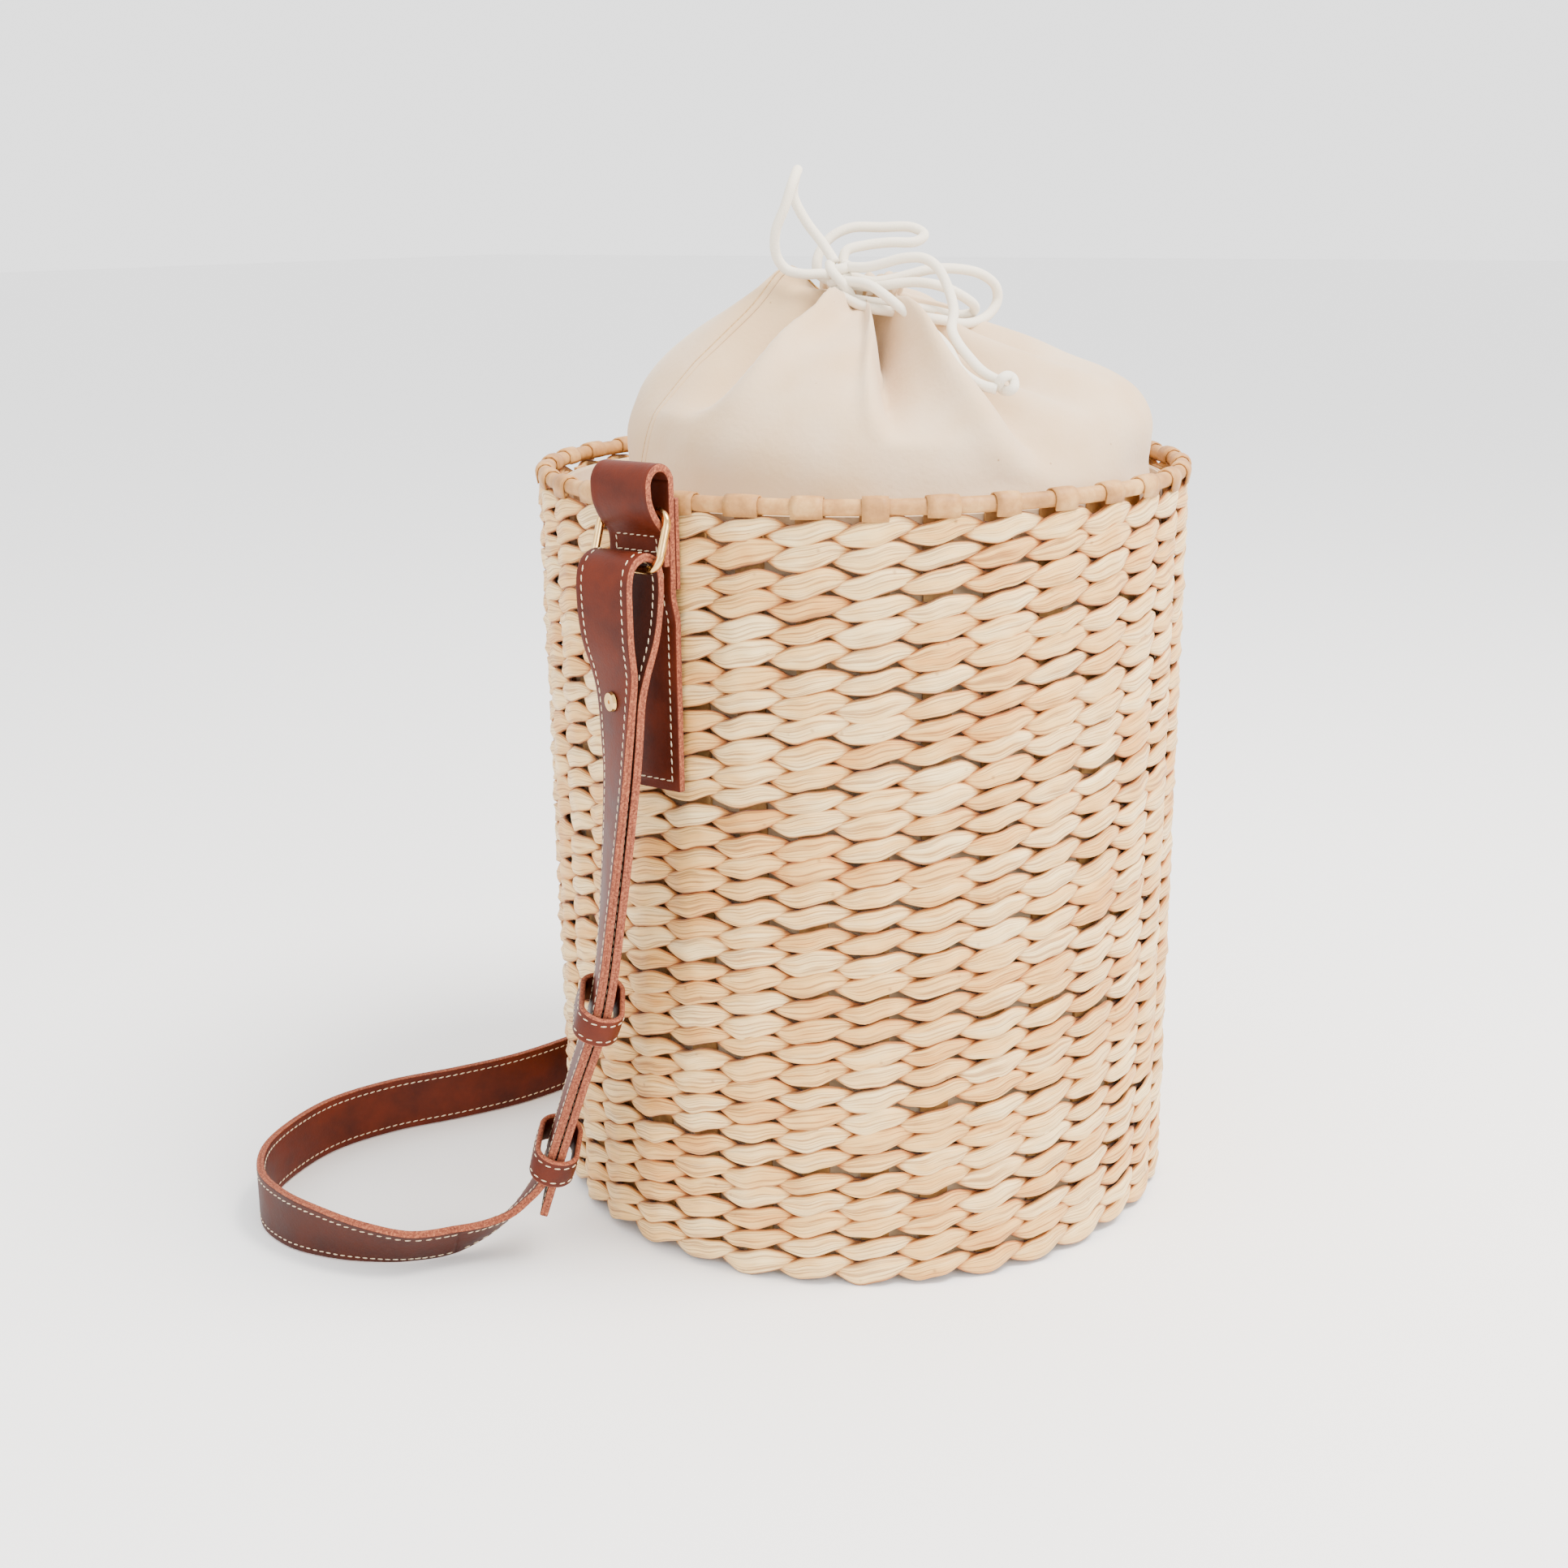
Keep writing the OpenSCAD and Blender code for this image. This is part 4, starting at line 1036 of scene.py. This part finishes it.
def tabPieces(end, sign):
    line = smoothLine(stripPart + loopPart + flapPart, 4)
    frames = stripFrames([[sign * x, 0, z, 0, sign, 0] for x, z in line])
    stripPiece("tab" + end, frames, tabSize, rootBody, ["tab_" + end.lower()],
               [strapLeather, rawEdge, strapLeather], plies=1)
    inset = tabSize["wide"] / 2 - tabSize["stitchIn"]
    half = tabSize["thick"] / 2
    bm = bmesh.new()
    out = Vector((sign, 0, 0))
    count = round(2 * inset / stitch["pitch"])
    # rows across: two through the flap, one along the foot
    for x, z in ((flapX + half + 0.35, tabSize["rows"][0]), (flapX + half, tabSize["rows"][1]),
                 (stripLow + half, tabSize["foot"])):
        for i in range(count):
            y = -inset + 2 * inset * (i + 0.5) / count
            addStitch(bm, Vector((sign * x, y, z)), Vector((0, 1, 0)), out)
    z = tabSize["rows"][0] - 1.5
    while z > tabSize["foot"]:
        t = min(max((z - patchLow + 12) / 9, 0), 1)
        face = half + (flapX if z > loopZ - 31 else
                       stripLow + (stripHigh - stripLow) * t * t * (3 - 2 * t))
        if not loopZ - 33 < z < loopZ - 31:
            for y in (-inset, inset):
                addStitch(bm, Vector((sign * face, y, z)), Vector((0, 0, 1)), out)
        z -= stitch["pitch"]
    finishPiece("tab" + end + "Stitches", bm, [waxedThread])
    bm = bmesh.new()
    bmesh.ops.create_cube(bm, size=1, matrix=Matrix.Translation(
        Vector((sign * (basket["rimRadius"] + 0.5 + tabSize["patch"] / 2), 0,
                patchLow + tabSize["patchHigh"] / 2)) * mm)
        @ Matrix.Diagonal((tabSize["patch"] * mm, tabSize["wide"] * mm,
                           tabSize["patchHigh"] * mm, 1)))
    bmesh.ops.subdivide_edges(bm, edges=bm.edges[:], cuts=3, use_grid_fill=True)
    sharp = [e for e in bm.edges if e.calc_face_angle(0) > 1]
    bmesh.ops.bevel(bm, geom=sharp, offset=0.5 * mm, segments=3, profile=0.5,
                    affect="EDGES", material=-1)
    for face in bm.faces:
        face.material_index = 0 if abs(face.normal.x) > 0.7 else 1
    finishPiece("tabPatch" + end, bm, [strapLeather, rawEdge],
                replaces=["tab_patch_" + end.lower()])


tabPieces("A", -1)
tabPieces("B", 1)
print("tabs made")


# rings: wire bent to a rounded rectangle and closed with a weld

ringSize = {"wire": 3.4, "high": 22.7, "inner": 29.4, "corner": 6.0, "tilt": 19, "sides": 20}
ringPlace = Vector(joints["ring_b_rock"]["pos_m"]) / mm


def ringPiece(end, sign):
    w = (ringSize["inner"] + ringSize["wire"]) / 2
    c = ringSize["corner"]
    outline = []
    for cx, cz, start in ((w - c, -c, 0), (-w + c, -c, 90),
                          (-w + c, -ringSize["high"] + c, 180),
                          (w - c, -ringSize["high"] + c, 270)):
        for k in range(11):
            a = math.radians(start + 9 * k)
            outline.append((cx + c * math.cos(a), cz + c * math.sin(a)))
    tilt = math.radians(ringSize["tilt"])
    pts = [ringPlace + Vector((-z * math.sin(tilt), y, z * math.cos(tilt))) for y, z in outline]
    normal = Vector((math.cos(tilt), 0, math.sin(tilt)))
    rings = []
    n = len(pts)
    for i in range(n):
        heading = (pts[(i + 1) % n] - pts[(i - 1) % n]).normalized()
        side = heading.cross(normal).normalized()
        ring = []
        for k in range(ringSize["sides"]):
            a = turn * k / ringSize["sides"]
            q = pts[i] + ringSize["wire"] / 2 * (math.cos(a) * side + math.sin(a) * normal)
            ring.append(Vector((sign * q.x, q.y, q.z)) * mm)
        rings.append(ring)
    bm = bmesh.new()
    sweep(bm, rings, closedPath=True)
    finishPiece("ring" + end, bm, [paleGold], body="ring_" + end.lower(),
                replaces=["ring_" + end.lower()])


ringPiece("A", -1)
ringPiece("B", 1)
paintNodes(paleGold, "rivet_a", "rivet_a_cap", "rivet_b", "rivet_b_cap")
paintNodes(braidedCotton, "drawcord_ring")
print("rings and rivets made")


# floor, lights and sky

# matt white studio sweep, a hair below the bag
floorPaint = newMaterial("paleStudioFloor", {
    "Roughness": 0.7, "Base Color": colour("#f4f4f4"), "Specular IOR Level": 0.2})[0]
bm = bmesh.new()
bmesh.ops.create_grid(bm, x_segments=2, y_segments=2, size=14,
                      matrix=Matrix.Translation((0, 0, -0.0002)))
finishPiece("studioFloor", bm, [floorPaint], body=None)

studio = {
    "sky": "#ffffff", "skyStrength": 2.3,
    "lights": [           # place, size, power, warmth
        ("topSoft", (0.2, -0.8, 1.7), 0.8, 70.0, "#fff8f0"),
        ("leftSoft", (-1.7, 0.35, 0.9), 1.1, 8.0, "#ffffff"),
        ("frontSoft", (-0.7, -1.7, 0.9), 1.0, 20.0, "#fffdf9"),
    ],
}
world = bpy.data.worlds.new("studioSky")
bpy.context.scene.world = world
world.use_nodes = True
background = world.node_tree.nodes["Background"]
background.inputs["Color"].default_value = colour(studio["sky"])
background.inputs["Strength"].default_value = studio["skyStrength"]
for name, place, size, power, warmth in studio["lights"]:
    data = bpy.data.lights.new(name, "AREA")
    data.shape = "DISK"
    data.size = size
    data.energy = power
    data.color = colour(warmth)[:3]
    lamp = bpy.data.objects.new(name, data)
    bpy.context.scene.collection.objects.link(lamp)
    lamp.location = place
    lamp.rotation_mode = "QUATERNION"
    lamp.rotation_quaternion = (Vector((0, 0, 0.16)) - Vector(place)).to_track_quat("-Z", "Y")
print("studio lit")
